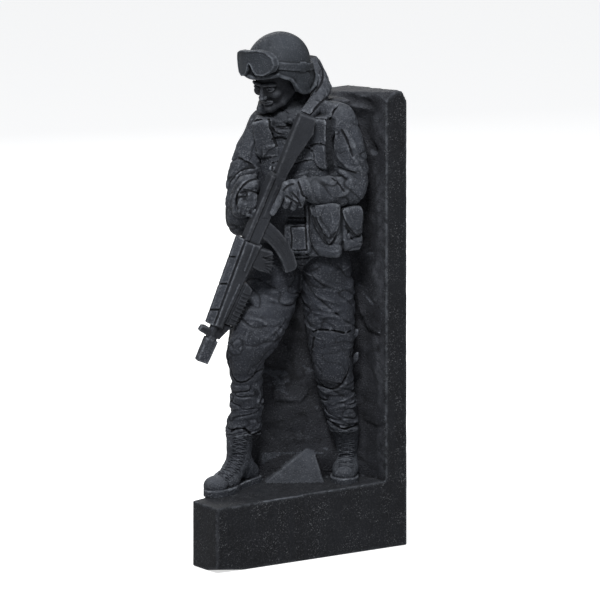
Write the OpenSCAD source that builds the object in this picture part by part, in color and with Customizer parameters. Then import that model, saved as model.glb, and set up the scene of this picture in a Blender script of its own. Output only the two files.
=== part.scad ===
// War memorial pillar: a soldier with a lowered rifle, carved in high relief from one block of dark
// granite. The block keeps a plinth under the boots and an upright pillar at the soldier's back, with
// rough-hewn rock left between them, so the whole work is one solid.
// The row frame has +Z up and its origin at the middle of the underside. The long face looks along -Y
// and the pillar stands at the +X end.

/* [Block] */
// Length of the plinth along its long face
block_length = 868; // [730:2:1040]
// Depth of the block from its long face to its back
block_depth = 410; // [345:5:495]
// Height of the plinth
plinth_height = 255; // [200:5:310]
// Rise of the plinth's top from its open end to the pillar
plinth_fall = 9; // [0:1:15]
// Height of the pillar above the plinth
pillar_rise = 1527; // [1400:1:1620]
// Width of the pillar's smooth edge on the long face
pillar_width = 94; // [78:1:113]
// Width of the worn bevel along the block's edges
edge_wear = 8; // [2:1:14]

/* [Soldier] */
// Height of the soldier from the boot soles to the top of the helmet
figure_height = 1770; // [1500:10:1960]
// Turn of the whole figure away from the long face, towards the open end of the plinth
figure_turn = 33.5; // [28:0.5:38]
// Turn of the chest beyond the turn of the figure
chest_turn = 20; // [14:1:26]
// Turn of the head beyond the turn of the figure
head_turn = 46; // [38:1:52]
// Bow of the head
head_bow = 24; // [18:1:30]

/* [Carving] */
// Height of the folds carved in the cloth
fold_height = 5; // [0:0.5:8]
// Depth of the facets struck in the rough rock
facet_depth = 12; // [0:1:18]
// Sides of a carved limb
limb_sides = 16; // [10:2:20]

/* [Hidden] */
stone = [0.17, 0.175, 0.185];
drawn_height = 1770;
drawn_rise = 1527;
chipped_in = 42;
chipped_out = 20;
figure_scale = figure_height / drawn_height;
half_length = block_length / 2;
half_depth = block_depth / 2;
strip_x = half_length - pillar_width;
broken_corner = [300, 57, 183, 168];

// The figure frame is [side, back, up] in millimetres for a figure of drawn_height. Side runs to the
// soldier's left, back runs into the block and up is the height over the plinth's top.
stand_at = [84, 5];
chest_side = [cos(chest_turn), -sin(chest_turn), 0];
torso_joints = [[10, 56, 700], [8, 54, 850], [6, 50, 960], [2, 46, 1100], [0, 42, 1250], [2, 35, 1380],
    [2, 32, 1450]];
torso_halves = [[135, 100], [170, 126], [172, 130], [160, 122], [165, 122], [140, 100], [85, 72]];
hip_step = [-82, 80, 850];
hip_stand = [98, 35, 850];
step_leg = [hip_step, [-127, -20, 716], [-162, -115, 625], [-203, -160, 535], [-203, -130, 410],
    [-205, -100, 305], [-207, -88, 205]];
step_halves = [[95, 100], [112, 100], [103, 92], [75, 76], [61, 68], [62, 66], [60, 62]];
stand_leg = [hip_stand, [110, 12, 707], [117, -5, 590], [122, -10, 496], [138, 4, 364], [155, 18, 287],
    [168, 30, 195]];
stand_halves = [[92, 100], [97, 96], [90, 86], [80, 78], [66, 72], [62, 66], [54, 58]];
right_arm = [[-136, 46, 1385], [-182, 38, 1285], [-216, 20, 1160], [-226, -14, 1042], [-213, -74, 1105],
    [-194, -124, 1196]];
right_arm_halves = [[56, 60], [60, 60], [62, 60], [60, 60], [58, 56], [42, 42]];
left_arm = [[150, -36, 1432], [178, -38, 1330], [194, -32, 1225], [188, -52, 1150], [104, -112, 1164],
    [12, -158, 1182]];
left_arm_halves = [[58, 58], [60, 65], [58, 64], [54, 58], [48, 57], [42, 43]];
head_centre = [-68, -18, 1590];
collar_joints = [[-140, -20, 1462], [-112, 62, 1492], [-30, 108, 1548], [30, 84, 1612], [66, 40, 1546],
    [64, -20, 1506], [24, -74, 1470], [-30, -96, 1440]];
butt = [26, -138, 1466];
muzzle = [-374, -200, 514];
rifle_roll = 12;

// Smooth curve through points, by Catmull and Rom. s runs from 0 to the number of spans.
function at(list, i) = list[max(0, min(len(list) - 1, i))];
function spline(list, s) =
    let (i = min(floor(s), len(list) - 2), t = s - i,
         a = at(list, i - 1), b = at(list, i), c = at(list, i + 1), d = at(list, i + 2))
    0.5 * (2 * b + (c - a) * t + (2 * a - 5 * b + 4 * c - d) * t * t
        + (3 * b - a - 3 * c + d) * t * t * t);
function unit(v) = v / norm(v);
function mix(a, b, t) = a + (b - a) * max(0, min(1, t));

// A closed skin over rings of equal length, wound outwards, with an end face on the first and last.
module skin(rings) {
    n = len(rings[0]);
    m = len(rings);
    walls = [for (j = [0:m - 2]) for (i = [0:n - 1]) let (k = (i + 1) % n)
        each [[j * n + i, (j + 1) * n + i, (j + 1) * n + k], [j * n + i, (j + 1) * n + k, j * n + k]]];
    ends = [[for (i = [0:n - 1]) i], [for (i = [n - 1:-1:0]) (m - 1) * n + i]];
    polyhedron([for (r = rings) each r], concat(walls, ends));
}

// A ring square to the direction along, whose first half-width lies to the side given.
function ring(centre, along, side, half, sides, rise, waves, phase) =
    let (z = unit(along), y = unit(cross(z, side)), x = cross(y, z))
    [for (i = [0:sides - 1]) let (a = 360 * i / sides, lift = rise * sin(waves * a + phase))
        centre + x * (half[0] + lift) * cos(a) + y * (half[1] + lift) * sin(a)];

// A limb along joints with half-widths [side, depth] at each joint, and folds running round it.
module limb(joints, halves, side = [1, 0, 0], steps = 3, fold = 1, waves = 3, pitch = 130) {
    last = (len(joints) - 1) * steps;
    e = 0.08;
    skin([for (j = [0:last]) let (s = j / steps,
            along = spline(joints, min(s + e, last / steps)) - spline(joints, max(s - e, 0)))
        ring(spline(joints, s), along, side, spline(halves, s), limb_sides,
             fold * fold_height, waves, pitch * j)]);
}

module ball(centre, half, turn = [0, 0, 0], sides = 14) {
    translate(centre) rotate(turn) scale(half) sphere(r = 1, $fn = sides);
}

// A rod between two points with a radius at each end.
module rod(from, to, r1, r2, sides = 8) {
    hull() {
        translate(from) sphere(r = r1, $fn = sides);
        translate(to) sphere(r = r2, $fn = sides);
    }
}

// A box with its edges cut back by r.
module soft_box(size, r) {
    hull() {
        cube([size[0], size[1] - 2 * r, size[2] - 2 * r], center = true);
        cube([size[0] - 2 * r, size[1], size[2] - 2 * r], center = true);
        cube([size[0] - 2 * r, size[1] - 2 * r, size[2]], center = true);
    }
}

// A slab over convex corners, with its upper edge bevelled by the wear and its top rising along X.
module worn_slab(corners) {
    slice = 1;
    hull() {
        linear_extrude(slice) polygon(corners);
        multmatrix([[1, 0, 0, 0], [0, 1, 0, 0], [plinth_fall / block_length, 0, 1, plinth_height - slice]]) {
            translate([0, 0, -edge_wear]) linear_extrude(slice) polygon(corners);
            linear_extrude(slice) offset(delta = -edge_wear) polygon(corners);
        }
    }
}

module plinth() {
    b = broken_corner;
    translate([-half_length, -half_depth]) {
        worn_slab([[0, 0], [block_length, 0], [block_length, block_depth], [b[0], block_depth],
            [b[1], b[2]]]);
        worn_slab([[0, 0], [2 * b[1], 0], [b[1], b[2]], [0, b[3]]]);
    }
}

// Places a child drawn in the figure frame, at the figure's scale or at the block's.
module from_figure(size = 1) {
    translate([stand_at[0], stand_at[1], plinth_height]) rotate(-figure_turn) scale(size) children();
}

// The rock's front as a depth in the figure frame. It reaches furthest forward at the foot, is
// hollowed beside the standing leg and comes forward again to the pillar's smooth edge.
rock_side = [-215, -150, -60, 20, 90, 150, 205, 255, 300, 329];
rock_foot = [20, -30, -56, -52, -18, 24, 60, 52, 8, -34];
rock_body = [70, 55, 40, 40, 50, 60, 72, 58, 14, -34];
rock_rows = [-40, 60, 170, 290, 420, 560, 700, 850, 1000, 1130, 1250, 1360, 1440];
rock_left = [-215, -215, -215, -212, -205, -190, -168, -190, -200, -200, -190, -140, -95];
function facet(i, j) = (i == 0 || i >= len(rock_side) - 1) ? 0 : facet_depth * sin(137 * i + 211 * j);
function rock_depth(i, j) =
    mix(rock_foot[i], rock_body[i], (rock_rows[j] - 40) / 420) + facet(i, j);
function rock_x(i, j) = max(rock_side[i], rock_left[j] + 14 * i);
c_turn = cos(figure_turn);
s_turn = sin(figure_turn);
function back_of(side) = (half_depth - stand_at[1] + side * s_turn) / c_turn;
// a point of the block's row frame, in the figure frame
function in_figure(x, y) = [(x - stand_at[0]) * c_turn - (y - stand_at[1]) * s_turn,
    (x - stand_at[0]) * s_turn + (y - stand_at[1]) * c_turn];
back_corner = in_figure(half_length, half_depth);
strip = [for (x = [strip_x, strip_x + chipped_in, half_length - chipped_out, half_length])
    in_figure(x, -half_depth)];
last_column = len(rock_side) - 1;
function rock_ring(j, up) = concat(
    [for (i = [0:last_column - 1]) [rock_x(i, j), rock_depth(i, j), up]],
    [for (p = concat(strip, [back_corner])) [p[0], p[1], up]],
    [
     [rock_left[j] + 40, back_of(rock_left[j] + 40), up],
     [rock_left[j], back_of(rock_left[j]) - 8, up]]);
module pillar() {
    top = len(rock_rows) - 1;
    rows = [for (j = [0:top]) rock_ring(j, rock_rows[j] * pillar_rise / drawn_rise)];
    // the crown: hewn back and front, with the smooth edge's two top corners broken away
    drop = concat([for (i = [0:last_column - 1]) 30 - 0.14 * min(200, strip[0][0] - rock_x(i, top))],
        [30, 0, 2, 42, 58, 62, 66]);
    ring = rock_ring(top, pillar_rise);
    crown = [for (i = [0:len(ring) - 1]) ring[i] - [0, 0, drop[i]]];
    skin(concat(rows, [crown]));
}

// A boot in its own frame: heel at the origin on the ground, toe towards -Y.
boot_sole = 26;
module boot(boot_length, shaft_height, shaft_lean) {
    half_heel = 38;
    half_ball = 52;
    toe = boot_length - 46;
    hull() {
        translate([0, -half_heel]) cylinder(r = half_heel, h = boot_sole, $fn = 12);
        translate([4, -0.68 * boot_length]) cylinder(r = half_ball, h = boot_sole, $fn = 12);
        translate([0, -toe]) cylinder(r = 46, h = boot_sole, $fn = 12);
    }
    hull() {
        ball([0, -toe, 40], [42, 42, 38]);
        ball([2, -0.64 * boot_length, 46], [48, 46, 44]);
    }
    hull() {
        ball([2, -0.64 * boot_length, 46], [48, 46, 44]);
        ball([0, -92, 108], [42, 46, 56]);
        ball([0, -46, 52], [38, 44, 50]);
    }
    limb([[0, -72, 60], [0, -76, 120], [0, -76 + shaft_lean, shaft_height]],
        [[38, 54], [42, 50], [50, 54]], fold = 0.4, waves = 1, pitch = 170);
}

module legs() {
    limb(step_leg, step_halves, waves = 3);
    limb(stand_leg, stand_halves, waves = 3, pitch = 110);
    // knee pads, with a strap behind each
    ball([-212, -182, 540], [70, 62, 92], [8, 0, -12], 16);
    ball([120, -34, 490], [74, 62, 112], [-6, 0, -6], 16);
    translate([-190, -33, 0]) rotate(-32.7) boot(296, 215, 6);
    translate([182, 150, 0]) rotate(-4) boot(234, 190, -34);
}

// Rifle parts are drawn flat, with u along the barrel from the butt, v to the underside and w to the
// side that shows.
module plate(points, thickness) {
    translate([0, 0, -thickness / 2]) linear_extrude(thickness) polygon(points);
}
rifle_length = 1028;
magazine_radius = 200;
magazine_bend = 62;
magazine_steps = 4;
module rifle() {
    // stock and receiver
    plate([[0, -33], [250, -27], [262, -42], [540, -40], [540, 20], [440, 22], [300, 15], [235, 20],
        [165, 27], [58, 50], [0, 33]], 42);
    // magazine, an arc that leans towards the muzzle
    for (k = [0:magazine_steps - 1]) hull() for (m = [k, k + 1]) let (a = magazine_bend * m / magazine_steps)
        translate([462 + magazine_radius * (1 - cos(a)), 8 + magazine_radius * sin(a), 0])
            rotate(-a) cube([78 - 3 * m, 2, 32], center = true);
    // handguard with its rail, and the block that hangs below it
    hull() {
        plate([[530, -68], [885, -46], [885, 18], [690, 26], [530, 34]], 26);
        plate([[534, -38], [881, -20], [881, 14], [690, 22], [534, 30]], 60);
    }
    plate([[544, 20], [620, 26], [624, 98], [598, 106], [540, 84]], 50);
    plate([[688, 10], [862, 4], [862, 58], [704, 68], [688, 40]], 48);
    // barrel, front sight and muzzle brake
    rod([880, -10, 0], [940, -4, 0], 19, 17);
    plate([[866, 10], [932, 6], [932, 24], [866, 48]], 28);
    plate([[905, -8], [900, -46], [904, -62], [922, -64], [926, -30], [934, -8]], 26);
    translate([984, -3, 0]) rotate([0, 90]) cylinder(r = 23, h = 88, center = true, $fn = 8);
}
module placed_rifle() {
    u = unit(muzzle - butt);
    w0 = unit([0, -1, 0] - u * (u * [0, -1, 0]));
    v0 = cross(w0, u);
    v = v0 * cos(rifle_roll) - w0 * sin(rifle_roll);
    w = w0 * cos(rifle_roll) + v0 * sin(rifle_roll);
    multmatrix([[u[0], v[0], w[0], butt[0]], [u[1], v[1], w[1], butt[1]], [u[2], v[2], w[2], butt[2]]])
        rifle();
}

module glove(wrist, knuckles, tips, half_palm) {
    hull() {
        ball(wrist, [half_palm * 0.9, half_palm * 0.8, half_palm * 0.9], sides = 10);
        ball(knuckles, [half_palm, half_palm * 0.7, half_palm], sides = 10);
    }
    for (t = tips) rod(knuckles + 0.25 * (t - knuckles), t, 17, 13);
}

module arms() {
    limb(right_arm, right_arm_halves, waves = 2, pitch = 100);
    limb(left_arm, left_arm_halves, side = [0, -1, 0], waves = 2, pitch = 140);
    glove([-190, -140, 1190], [-196, -158, 1158], [for (k = [0:3]) [-230 + 17 * k, -164, 1104 - 6 * k]], 36);
    glove([-4, -168, 1180], [-46, -178, 1172], [for (k = [0:3]) [-62 - 15 * k, -184, 1140 - 20 * k]], 40);
}

module torso() {
    limb(torso_joints, torso_halves, side = chest_side, waves = 4, fold = 0.6);
    // the vest, one lift over the jacket, with shoulder straps and a hem
    vest = [for (k = [1:5]) torso_joints[k] + [0, -10, k == 1 ? 38 : 0]];
    vest_halves = [for (k = [1:5]) torso_halves[k] + [10, 18] - (k == 5 ? [35, 22] : [0, 0])];
    limb(vest, vest_halves, side = chest_side, fold = 0);
    translate([-140, -36, 1358]) rotate([12, 0, -32]) soft_box([68, 72, 140], 12);
    translate([84, -80, 1340]) rotate([4, 0, -14]) soft_box([62, 66, 200], 12);
    ball([-136, 34, 1398], [58, 62, 56]);
    ball([146, -40, 1424], [66, 66, 62]);
    rod([-20, 30, 1440], [140, -20, 1440], 62, 46, 10);
    // pouches at the belt, on the soldier's left
    translate([92, -112, 1012]) rotate([4, 0, -14]) soft_box([130, 62, 210], 14);
    translate([94, -134, 1040]) rotate([4, 0, -14]) soft_box([102, 30, 140], 10);
    translate([184, -72, 1010]) rotate([2, 0, 34]) soft_box([96, 88, 172], 16);
    translate([-10, -126, 980]) rotate([0, 0, -20]) soft_box([110, 40, 110], 10);
    // scarf and collar
    limb([[-20, 10, 1400], [-40, -14, 1470], [-56, -20, 1560]], [[96, 92], [84, 86], [70, 74]], fold = 1.2);
    limb(collar_joints, [[20, 26], [26, 34], [28, 40], [28, 44], [27, 42], [26, 38], [24, 34], [20, 26]],
        side = [0, 0, 1], steps = 2, fold = 0);
}

// The head in its own frame: centre at the origin, face towards -Y. The face is a plain calm one on
// even proportions, in the shade of the helmet.
face_height = 118;
module face() {
    ball([0, 8, 0], [74, 90, 104], sides = 16);
    hull() {
        ball([0, -34, -66], [52, 50, 40]);
        ball([0, -62, -88], [26, 22, 20], sides = 10);
    }
    // nose, brow, lips and cheeks, spaced down the face in thirds
    hull() {
        ball([0, -88, 14], [8, 8, 8], sides = 8);
        ball([0, -104, 14 - face_height / 3], [12, 13, 10], sides = 8);
    }
    for (s = [-1, 1]) {
        hull() {
            ball([s * 12, -86, 22], [10, 8, 7], sides = 8);
            ball([s * 50, -66, 20], [10, 10, 7], sides = 8);
        }
        ball([s * 36, -64, -22], [24, 22, 20], sides = 10);
    }
    ball([0, -86, -52], [24, 10, 6], sides = 10);
    ball([0, -84, -62], [20, 10, 6], sides = 10);
}
helmet_half = [114, 134, 126];
module helmet() {
    difference() {
        ball([0, 0, 52], helmet_half, sides = 22);
        // the shell is cut along the brow and again, lower, behind the temples
        translate([0, -150, -60]) rotate([-4, 0, 0]) cube([300, 260, 160], center = true);
        translate([0, 150, -110]) cube([300, 400, 140], center = true);
    }
    for (s = [-1, 1]) ball([s * 100, 16, -8], [22, 52, 62], sides = 14);
    // the brim
    hull() for (s = [-1, 0, 1]) ball([s * 78, -104 + 30 * abs(s), 22], [18, 18, 9], sides = 10);
    // goggles pushed up, lens shell with a notch over the nose, and the strap round the shell
    translate([0, -124, 112]) rotate([-24, 0, 0]) difference() {
        hull() for (s = [-1, 1]) {
            ball([s * 48, 0, 0], [40, 34, 46], sides = 12);
            ball([s * 62, 34, 2], [30, 24, 36], sides = 10);
        }
        ball([0, -30, -46], [12, 40, 28], sides = 8);
    }
    translate([0, 0, 52]) rotate([14, 0, 0]) intersection() {
        scale(helmet_half + [5, 5, 5]) sphere(r = 1, $fn = 22);
        translate([0, 0, 22]) cube([300, 320, 38], center = true);
    }
}

module soldier() {
    legs();
    torso();
    arms();
    placed_rifle();
    translate(head_centre) rotate([head_bow, 0, -head_turn]) {
        face();
        helmet();
    }
}

module memorial() {
    color(stone) {
        plinth();
        from_figure() pillar();
        from_figure(figure_scale) soldier();
    }
}

memorial();
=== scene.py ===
# %% [markdown]
# # A soldier carved from one block of dark granite
# The memorial is one stone: a plinth, an upright pillar at the soldier's back, rough rock left between
# them, and the soldier in high relief. This lesson models it as a sculptor would: clay first, then skin,
# then the finish of the stone. The construction model gives the place and the size of everything.

# %% Load the construction model
import math
import mathutils
import bpy
import numpy as np
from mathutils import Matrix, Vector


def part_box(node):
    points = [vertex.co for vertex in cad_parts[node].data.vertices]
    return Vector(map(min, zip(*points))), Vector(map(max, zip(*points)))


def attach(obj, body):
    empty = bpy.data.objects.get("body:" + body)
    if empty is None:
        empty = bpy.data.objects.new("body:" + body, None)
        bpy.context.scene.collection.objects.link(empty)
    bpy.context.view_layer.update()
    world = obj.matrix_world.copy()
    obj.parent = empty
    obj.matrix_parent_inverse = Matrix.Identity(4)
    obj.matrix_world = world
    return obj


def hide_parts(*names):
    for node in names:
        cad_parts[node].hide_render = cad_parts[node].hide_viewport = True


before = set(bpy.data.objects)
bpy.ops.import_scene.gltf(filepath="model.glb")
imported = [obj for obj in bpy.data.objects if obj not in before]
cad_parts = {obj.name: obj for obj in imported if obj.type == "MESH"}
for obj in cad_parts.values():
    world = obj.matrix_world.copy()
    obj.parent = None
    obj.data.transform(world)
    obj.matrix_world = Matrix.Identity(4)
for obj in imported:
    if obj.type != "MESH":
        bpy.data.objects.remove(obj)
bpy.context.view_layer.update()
block_low, block_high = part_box("memorial")
print("block from", [round(v, 3) for v in block_low], "to", [round(v, 3) for v in block_high])

# %% [markdown]
# ## Frames
# The block stands square, but the soldier is turned on it, so the carving is measured in a frame of its
# own: [side, back, up] in millimetres. Side runs to the soldier's left, back runs into the stone and up
# is the height over the plinth. Lines that a sculptor draws on the front of the block, such as folds and
# seams, are flat points [side, height], pushed into the stone along one slightly falling direction.

# %% Frames of the block and of the soldier
MM = 0.001
FIGURE_TURN = 33.5
STAND = np.array([84.0, 5.0, 255.0])
SIGHT_FALL = 13.4


def turned(rx=0.0, ry=0.0, rz=0.0):
    """Rotation about X, then Y, then Z, in degrees."""
    (cx, cy, cz), (sx, sy, sz) = np.cos(np.radians([rx, ry, rz])), np.sin(np.radians([rx, ry, rz]))
    about_x = np.array([[1, 0, 0], [0, cx, -sx], [0, sx, cx]])
    about_y = np.array([[cy, 0, sy], [0, 1, 0], [-sy, 0, cy]])
    about_z = np.array([[cz, -sz, 0], [sz, cz, 0], [0, 0, 1]])
    return about_z @ about_y @ about_x


FIGURE = (np.eye(3), np.zeros(3))
TO_BLOCK = turned(rz=-FIGURE_TURN)
BLOCK = (TO_BLOCK.T, -TO_BLOCK.T @ STAND)
fall = math.radians(SIGHT_FALL)
SIGHT = np.array([0.0, math.cos(fall), -math.sin(fall)])
RISE = np.array([0.0, math.sin(fall), math.cos(fall)])

# %% [markdown]
# ## Clay
# Blender's sculpt mode needs a hand. In a script the same freedom comes from a distance field: a regular
# grid of numbers that are negative inside the stone. Two forms are joined by taking the smaller number,
# softly where clay would be smoothed with a thumb, and cut by taking the larger.

# %% A block of clay
FAR = 60.0


def joined(a, b, soft):
    """The smaller of two distances, blended where they are within soft of each other."""
    if soft <= 0:
        return np.minimum(a, b)
    near = np.maximum(soft - np.abs(a - b), 0) / soft
    return np.minimum(a, b) - near * near * soft * 0.25


class Clay:
    """Distances in millimetres on a grid, with the place of the grid in the soldier's frame."""

    def __init__(self, low, high, step, place=FIGURE):
        self.step = step * (1.7 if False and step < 5 else 1.0)
        self.low = np.array(low, float)
        self.counts = np.ceil((np.array(high) - self.low) / self.step).astype(int) + 1
        self.field = np.full(self.counts, FAR, np.float32)
        # A second grid holds painted shade: darkness drawn into creases, fold valleys and shaded hollows.
        self.painted_shade = np.zeros(self.counts, np.float32)
        self.turn, self.at = place

    def window(self, low, high, margin):
        """The part of the grid round a box, and the coordinates of its points."""
        first = np.floor((np.array(low) - margin - self.low) / self.step).astype(int)
        last = np.ceil((np.array(high) + margin - self.low) / self.step).astype(int) + 1
        first, last = np.clip(first, 0, self.counts), np.clip(last, 0, self.counts)
        part = tuple(slice(a, b) for a, b in zip(first, last))
        axes = [(self.low[k] + self.step * np.arange(first[k], last[k])).astype(np.float32)
                for k in range(3)]
        return part, np.ix_(*axes)

    def coordinates(self, x, y, z):
        """Grid coordinates turned into the soldier's frame."""
        return [self.turn[k, 0] * x + self.turn[k, 1] * y + self.turn[k, 2] * z + self.at[k]
                for k in range(3)]

    def in_figure(self, points):
        """Points of the grid in the soldier's frame."""
        return points @ self.turn.T + self.at

    def in_block(self, points):
        """Points of the grid in the block's frame, in metres."""
        return (self.in_figure(points) @ TO_BLOCK.T + STAND) * MM

    def measured(self, shapes, margin):
        """The distance to the nearest of some shapes, over the window round them all."""
        low = np.min([s.low for s in shapes], axis=0)
        high = np.max([s.high for s in shapes], axis=0)
        part, grid = self.window(low, high, margin)
        if len(shapes) == 1:
            return part, shapes[0].distance(*grid)
        start = [p.start for p in part]
        distance = np.full(self.field[part].shape, FAR, np.float32)
        for s in shapes:
            own, own_grid = self.window(s.low, s.high, margin)
            inner = tuple(slice(o.start - a, o.stop - a) for o, a in zip(own, start))
            distance[inner] = np.minimum(distance[inner], s.distance(*own_grid))
        return part, distance

    def add(self, shapes, soft=0.0):
        shapes = shapes if isinstance(shapes, list) else [shapes]
        part, distance = self.measured(shapes, max(soft, 14.0) + self.step)
        self.field[part] = joined(self.field[part], distance, soft)

    def cut(self, shapes, soft=0.0):
        shapes = shapes if isinstance(shapes, list) else [shapes]
        part, distance = self.measured(shapes, max(soft, 14.0) + self.step)
        self.field[part] = -joined(-self.field[part], distance, soft)

    def value(self, points):
        """The field at points, blended between the grid's own."""
        p = np.clip((points - self.low) / self.step, 0, self.counts - 1.001)
        i = p.astype(int)
        f = p - i
        total = 0.0
        for corner in np.ndindex(2, 2, 2):
            c = np.array(corner)
            weight = np.prod(np.where(c == 1, f, 1 - f), axis=-1)
            j = i + c
            total = total + weight * self.field[j[..., 0], j[..., 1], j[..., 2]]
        return total

    def roughen(self, cell, height, seed):
        """Adds a smooth random unevenness, whose bumps are about a cell wide."""
        rng = np.random.default_rng(seed)
        lattice = (self.counts * self.step / cell).astype(int) + 3
        bumps = rng.uniform(-1, 1, lattice).astype(np.float32)
        for axis in range(3):
            place = np.arange(self.counts[axis]) * self.step / cell
            i = place.astype(int)
            f = (place - i).astype(np.float32)
            f = f * f * (3 - 2 * f)
            f = f.reshape([-1 if k == axis else 1 for k in range(3)])
            bumps = np.take(bumps, i, axis) * (1 - f) + np.take(bumps, i + 1, axis) * f
        self.field += height * bumps


# %% [markdown]
# Cloth in stone is broad soft folds with narrow valleys between them. A smooth random field has just such
# lines where it passes through nothing, so the clay is raised everywhere but there. Its cells are long
# one way and short the other, which makes the folds run round a leg or along a sleeve.

# %% Folds of cloth over the clay
TABLE = 32  # the random table repeats after so many bumps
FADING = 25  # millimetres over which folds fade at the sides of their box


def noise(points, seed):
    """Smooth random values between -1 and 1 at points, about one unit from bump to bump."""
    table = np.random.default_rng(seed).uniform(-1, 1, [TABLE] * 3).astype(np.float32)
    i = np.floor(points).astype(int)
    f = points - i
    f = f * f * (3 - 2 * f)
    total = 0.0
    for corner in np.ndindex(2, 2, 2):
        c = np.array(corner)
        j = (i + c) % TABLE
        total = total + np.prod(np.where(c == 1, f, 1 - f), axis=1) * table[j[:, 0], j[:, 1], j[:, 2]]
    return total


def wrinkled(clay, cells, height, seed, low=None, high=None, turn=(0, 0, 0)):
    """Folds with narrow valleys on the clay, in a box of the soldier's frame that fades at its sides."""
    near = np.argwhere(np.abs(clay.field) < height + 2 * clay.step)
    at = clay.in_figure(clay.low + near * clay.step)
    weight = np.ones(len(at))
    if low is not None:
        weight = np.clip(np.minimum(at - np.array(low), np.array(high) - at).min(axis=1) / FADING, 0, 1)
        near, at, weight = near[weight > 0], at[weight > 0], weight[weight > 0]
    p = at @ turned(*turn) / np.array(cells, float)
    bend = np.stack([noise(0.6 * p + 9 * k, seed + 1 + k) for k in range(3)], axis=1)
    fold = np.abs(noise(p + 0.7 * bend, seed))
    part = tuple(near.T)
    clay.field[part] -= height * (np.minimum(fold / 0.4, 1) ** 0.65 - 0.6) * weight
    # The narrow valleys also get painted shade.
    clay.painted_shade[part] = np.maximum(clay.painted_shade[part], 0.8 * np.clip(1 - fold / 0.06, 0, 1) * weight)


# %% [markdown]
# ## Forms
# A few simple forms are enough for a body in clothes: balls, rods, soft boxes, flat plates with a drawn
# outline, and limbs, which are round sections carried along a smooth curve. A limb's section can swell
# with folds that run round it.

# %% Balls, rods, boxes and plates
class Shape:
    """A form with its box and its distance function."""

    def __init__(self, low, high, distance):
        self.low, self.high, self.distance = np.array(low, float), np.array(high, float), distance

    def within(self, other):
        """The part that is also inside another form."""
        return Shape(self.low, self.high,
                     lambda x, y, z: np.maximum(self.distance(x, y, z), other.distance(x, y, z)))


def local(x, y, z, centre, turn):
    """Coordinates in a frame with its own centre and turn."""
    x, y, z = x - centre[0], y - centre[1], z - centre[2]
    return [turn[0][k] * x + turn[1][k] * y + turn[2][k] * z for k in range(3)]


def ball(centre, half, turn=(0, 0, 0)):
    """A ball, or an egg with three half axes."""
    half = np.array(half, float) if np.ndim(half) else np.full(3, float(half))
    centre, turn = np.array(centre, float), turned(*turn)
    reach = np.sqrt(((turn * half) ** 2).sum(axis=1))

    def distance(x, y, z):
        p = local(x, y, z, centre, turn)
        k0 = np.sqrt(sum((p[k] / half[k]) ** 2 for k in range(3)))
        k1 = np.sqrt(sum((p[k] / half[k] ** 2) ** 2 for k in range(3)))
        return k0 * (k0 - 1) / np.maximum(k1, 1e-6)
    return Shape(centre - reach, centre + reach, distance)


def box(centre, size, round_edge=6, turn=(0, 0, 0)):
    """A box with rounded edges."""
    half = np.array(size, float) / 2 - round_edge
    centre, turn = np.array(centre, float), turned(*turn)
    reach = (np.abs(turn) * (half + round_edge)).sum(axis=1)

    def distance(x, y, z):
        q = [np.abs(v) - h for v, h in zip(local(x, y, z, centre, turn), half)]
        outside = np.sqrt(sum(np.maximum(v, 0) ** 2 for v in q))
        return outside + np.minimum(np.maximum(np.maximum(q[0], q[1]), q[2]), 0) - round_edge
    return Shape(centre - reach, centre + reach, distance)


def rod(a, b, radius_a, radius_b=None):
    """A rod with round ends, which may taper."""
    a, b = np.array(a, float), np.array(b, float)
    radius_b = radius_a if radius_b is None else radius_b
    reach = max(radius_a, radius_b)
    d = b - a
    square = max(float(d @ d), 1e-6)

    def distance(x, y, z):
        x, y, z = x - a[0], y - a[1], z - a[2]
        t = np.clip((x * d[0] + y * d[1] + z * d[2]) / square, 0, 1)
        across = np.sqrt((x - t * d[0]) ** 2 + (y - t * d[1]) ** 2 + (z - t * d[2]) ** 2)
        return across - (radius_a + (radius_b - radius_a) * t)
    return Shape(np.minimum(a, b) - reach, np.maximum(a, b) + reach, distance)


def path(points, radii):
    """A chain of rods through points."""
    radii = radii if np.ndim(radii) else [radii] * len(points)
    return [rod(points[i], points[i + 1], radii[i], radii[i + 1]) for i in range(len(points) - 1)]


def outline_distance(px, py, points):
    """Signed distance to a closed outline, negative inside."""
    points = np.array(points, float)
    best, inside = 1e12, False
    for a, b in zip(points, np.roll(points, -1, axis=0)):
        ex, ey = b - a
        wx, wy = px - a[0], py - a[1]
        t = np.clip((wx * ex + wy * ey) / (ex * ex + ey * ey), 0, 1)
        best = np.minimum(best, (wx - ex * t) ** 2 + (wy - ey * t) ** 2)
        if ey != 0:
            inside = inside ^ (((a[1] > py) != (b[1] > py)) & (px < ex * wy / ey + a[0]))
    return np.where(inside, -1, 1) * np.sqrt(best)


def plate(outline, axis, low, high, round_edge=1.5):
    """An outline carried along one axis of the grid between two heights, with its edges rounded."""
    flat = [k for k in range(3) if k != axis]
    points = np.array(outline, float)
    lowest, highest = np.zeros(3), np.zeros(3)
    lowest[flat], highest[flat] = points.min(axis=0), points.max(axis=0)
    lowest[axis], highest[axis] = low, high

    def distance(*grid):
        side = outline_distance(grid[flat[0]], grid[flat[1]], points) + round_edge
        through = np.abs(grid[axis] - (low + high) / 2) - (high - low) / 2 + round_edge
        corner = np.sqrt(np.maximum(side, 0) ** 2 + np.maximum(through, 0) ** 2)
        return corner + np.minimum(np.maximum(side, through), 0) - round_edge
    return Shape(lowest, highest, distance)


def slab(point, normal, half):
    """The space within half of a plane."""
    point, normal = np.array(point, float), np.array(normal, float) / np.linalg.norm(normal)

    def distance(x, y, z):
        return np.abs((x - point[0]) * normal[0] + (y - point[1]) * normal[1]
                      + (z - point[2]) * normal[2]) - half
    return Shape([-9e3] * 3, [9e3] * 3, distance)


# %% [markdown]
# A limb is a smooth curve through a few joints, with a section of its own at each. It could be a skin
# modifier on a chain of edges, but then its folds would need a texture. Here a formula swells the section
# as it goes round and along, so a fold is real stone and has a back as well as a front.

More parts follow.
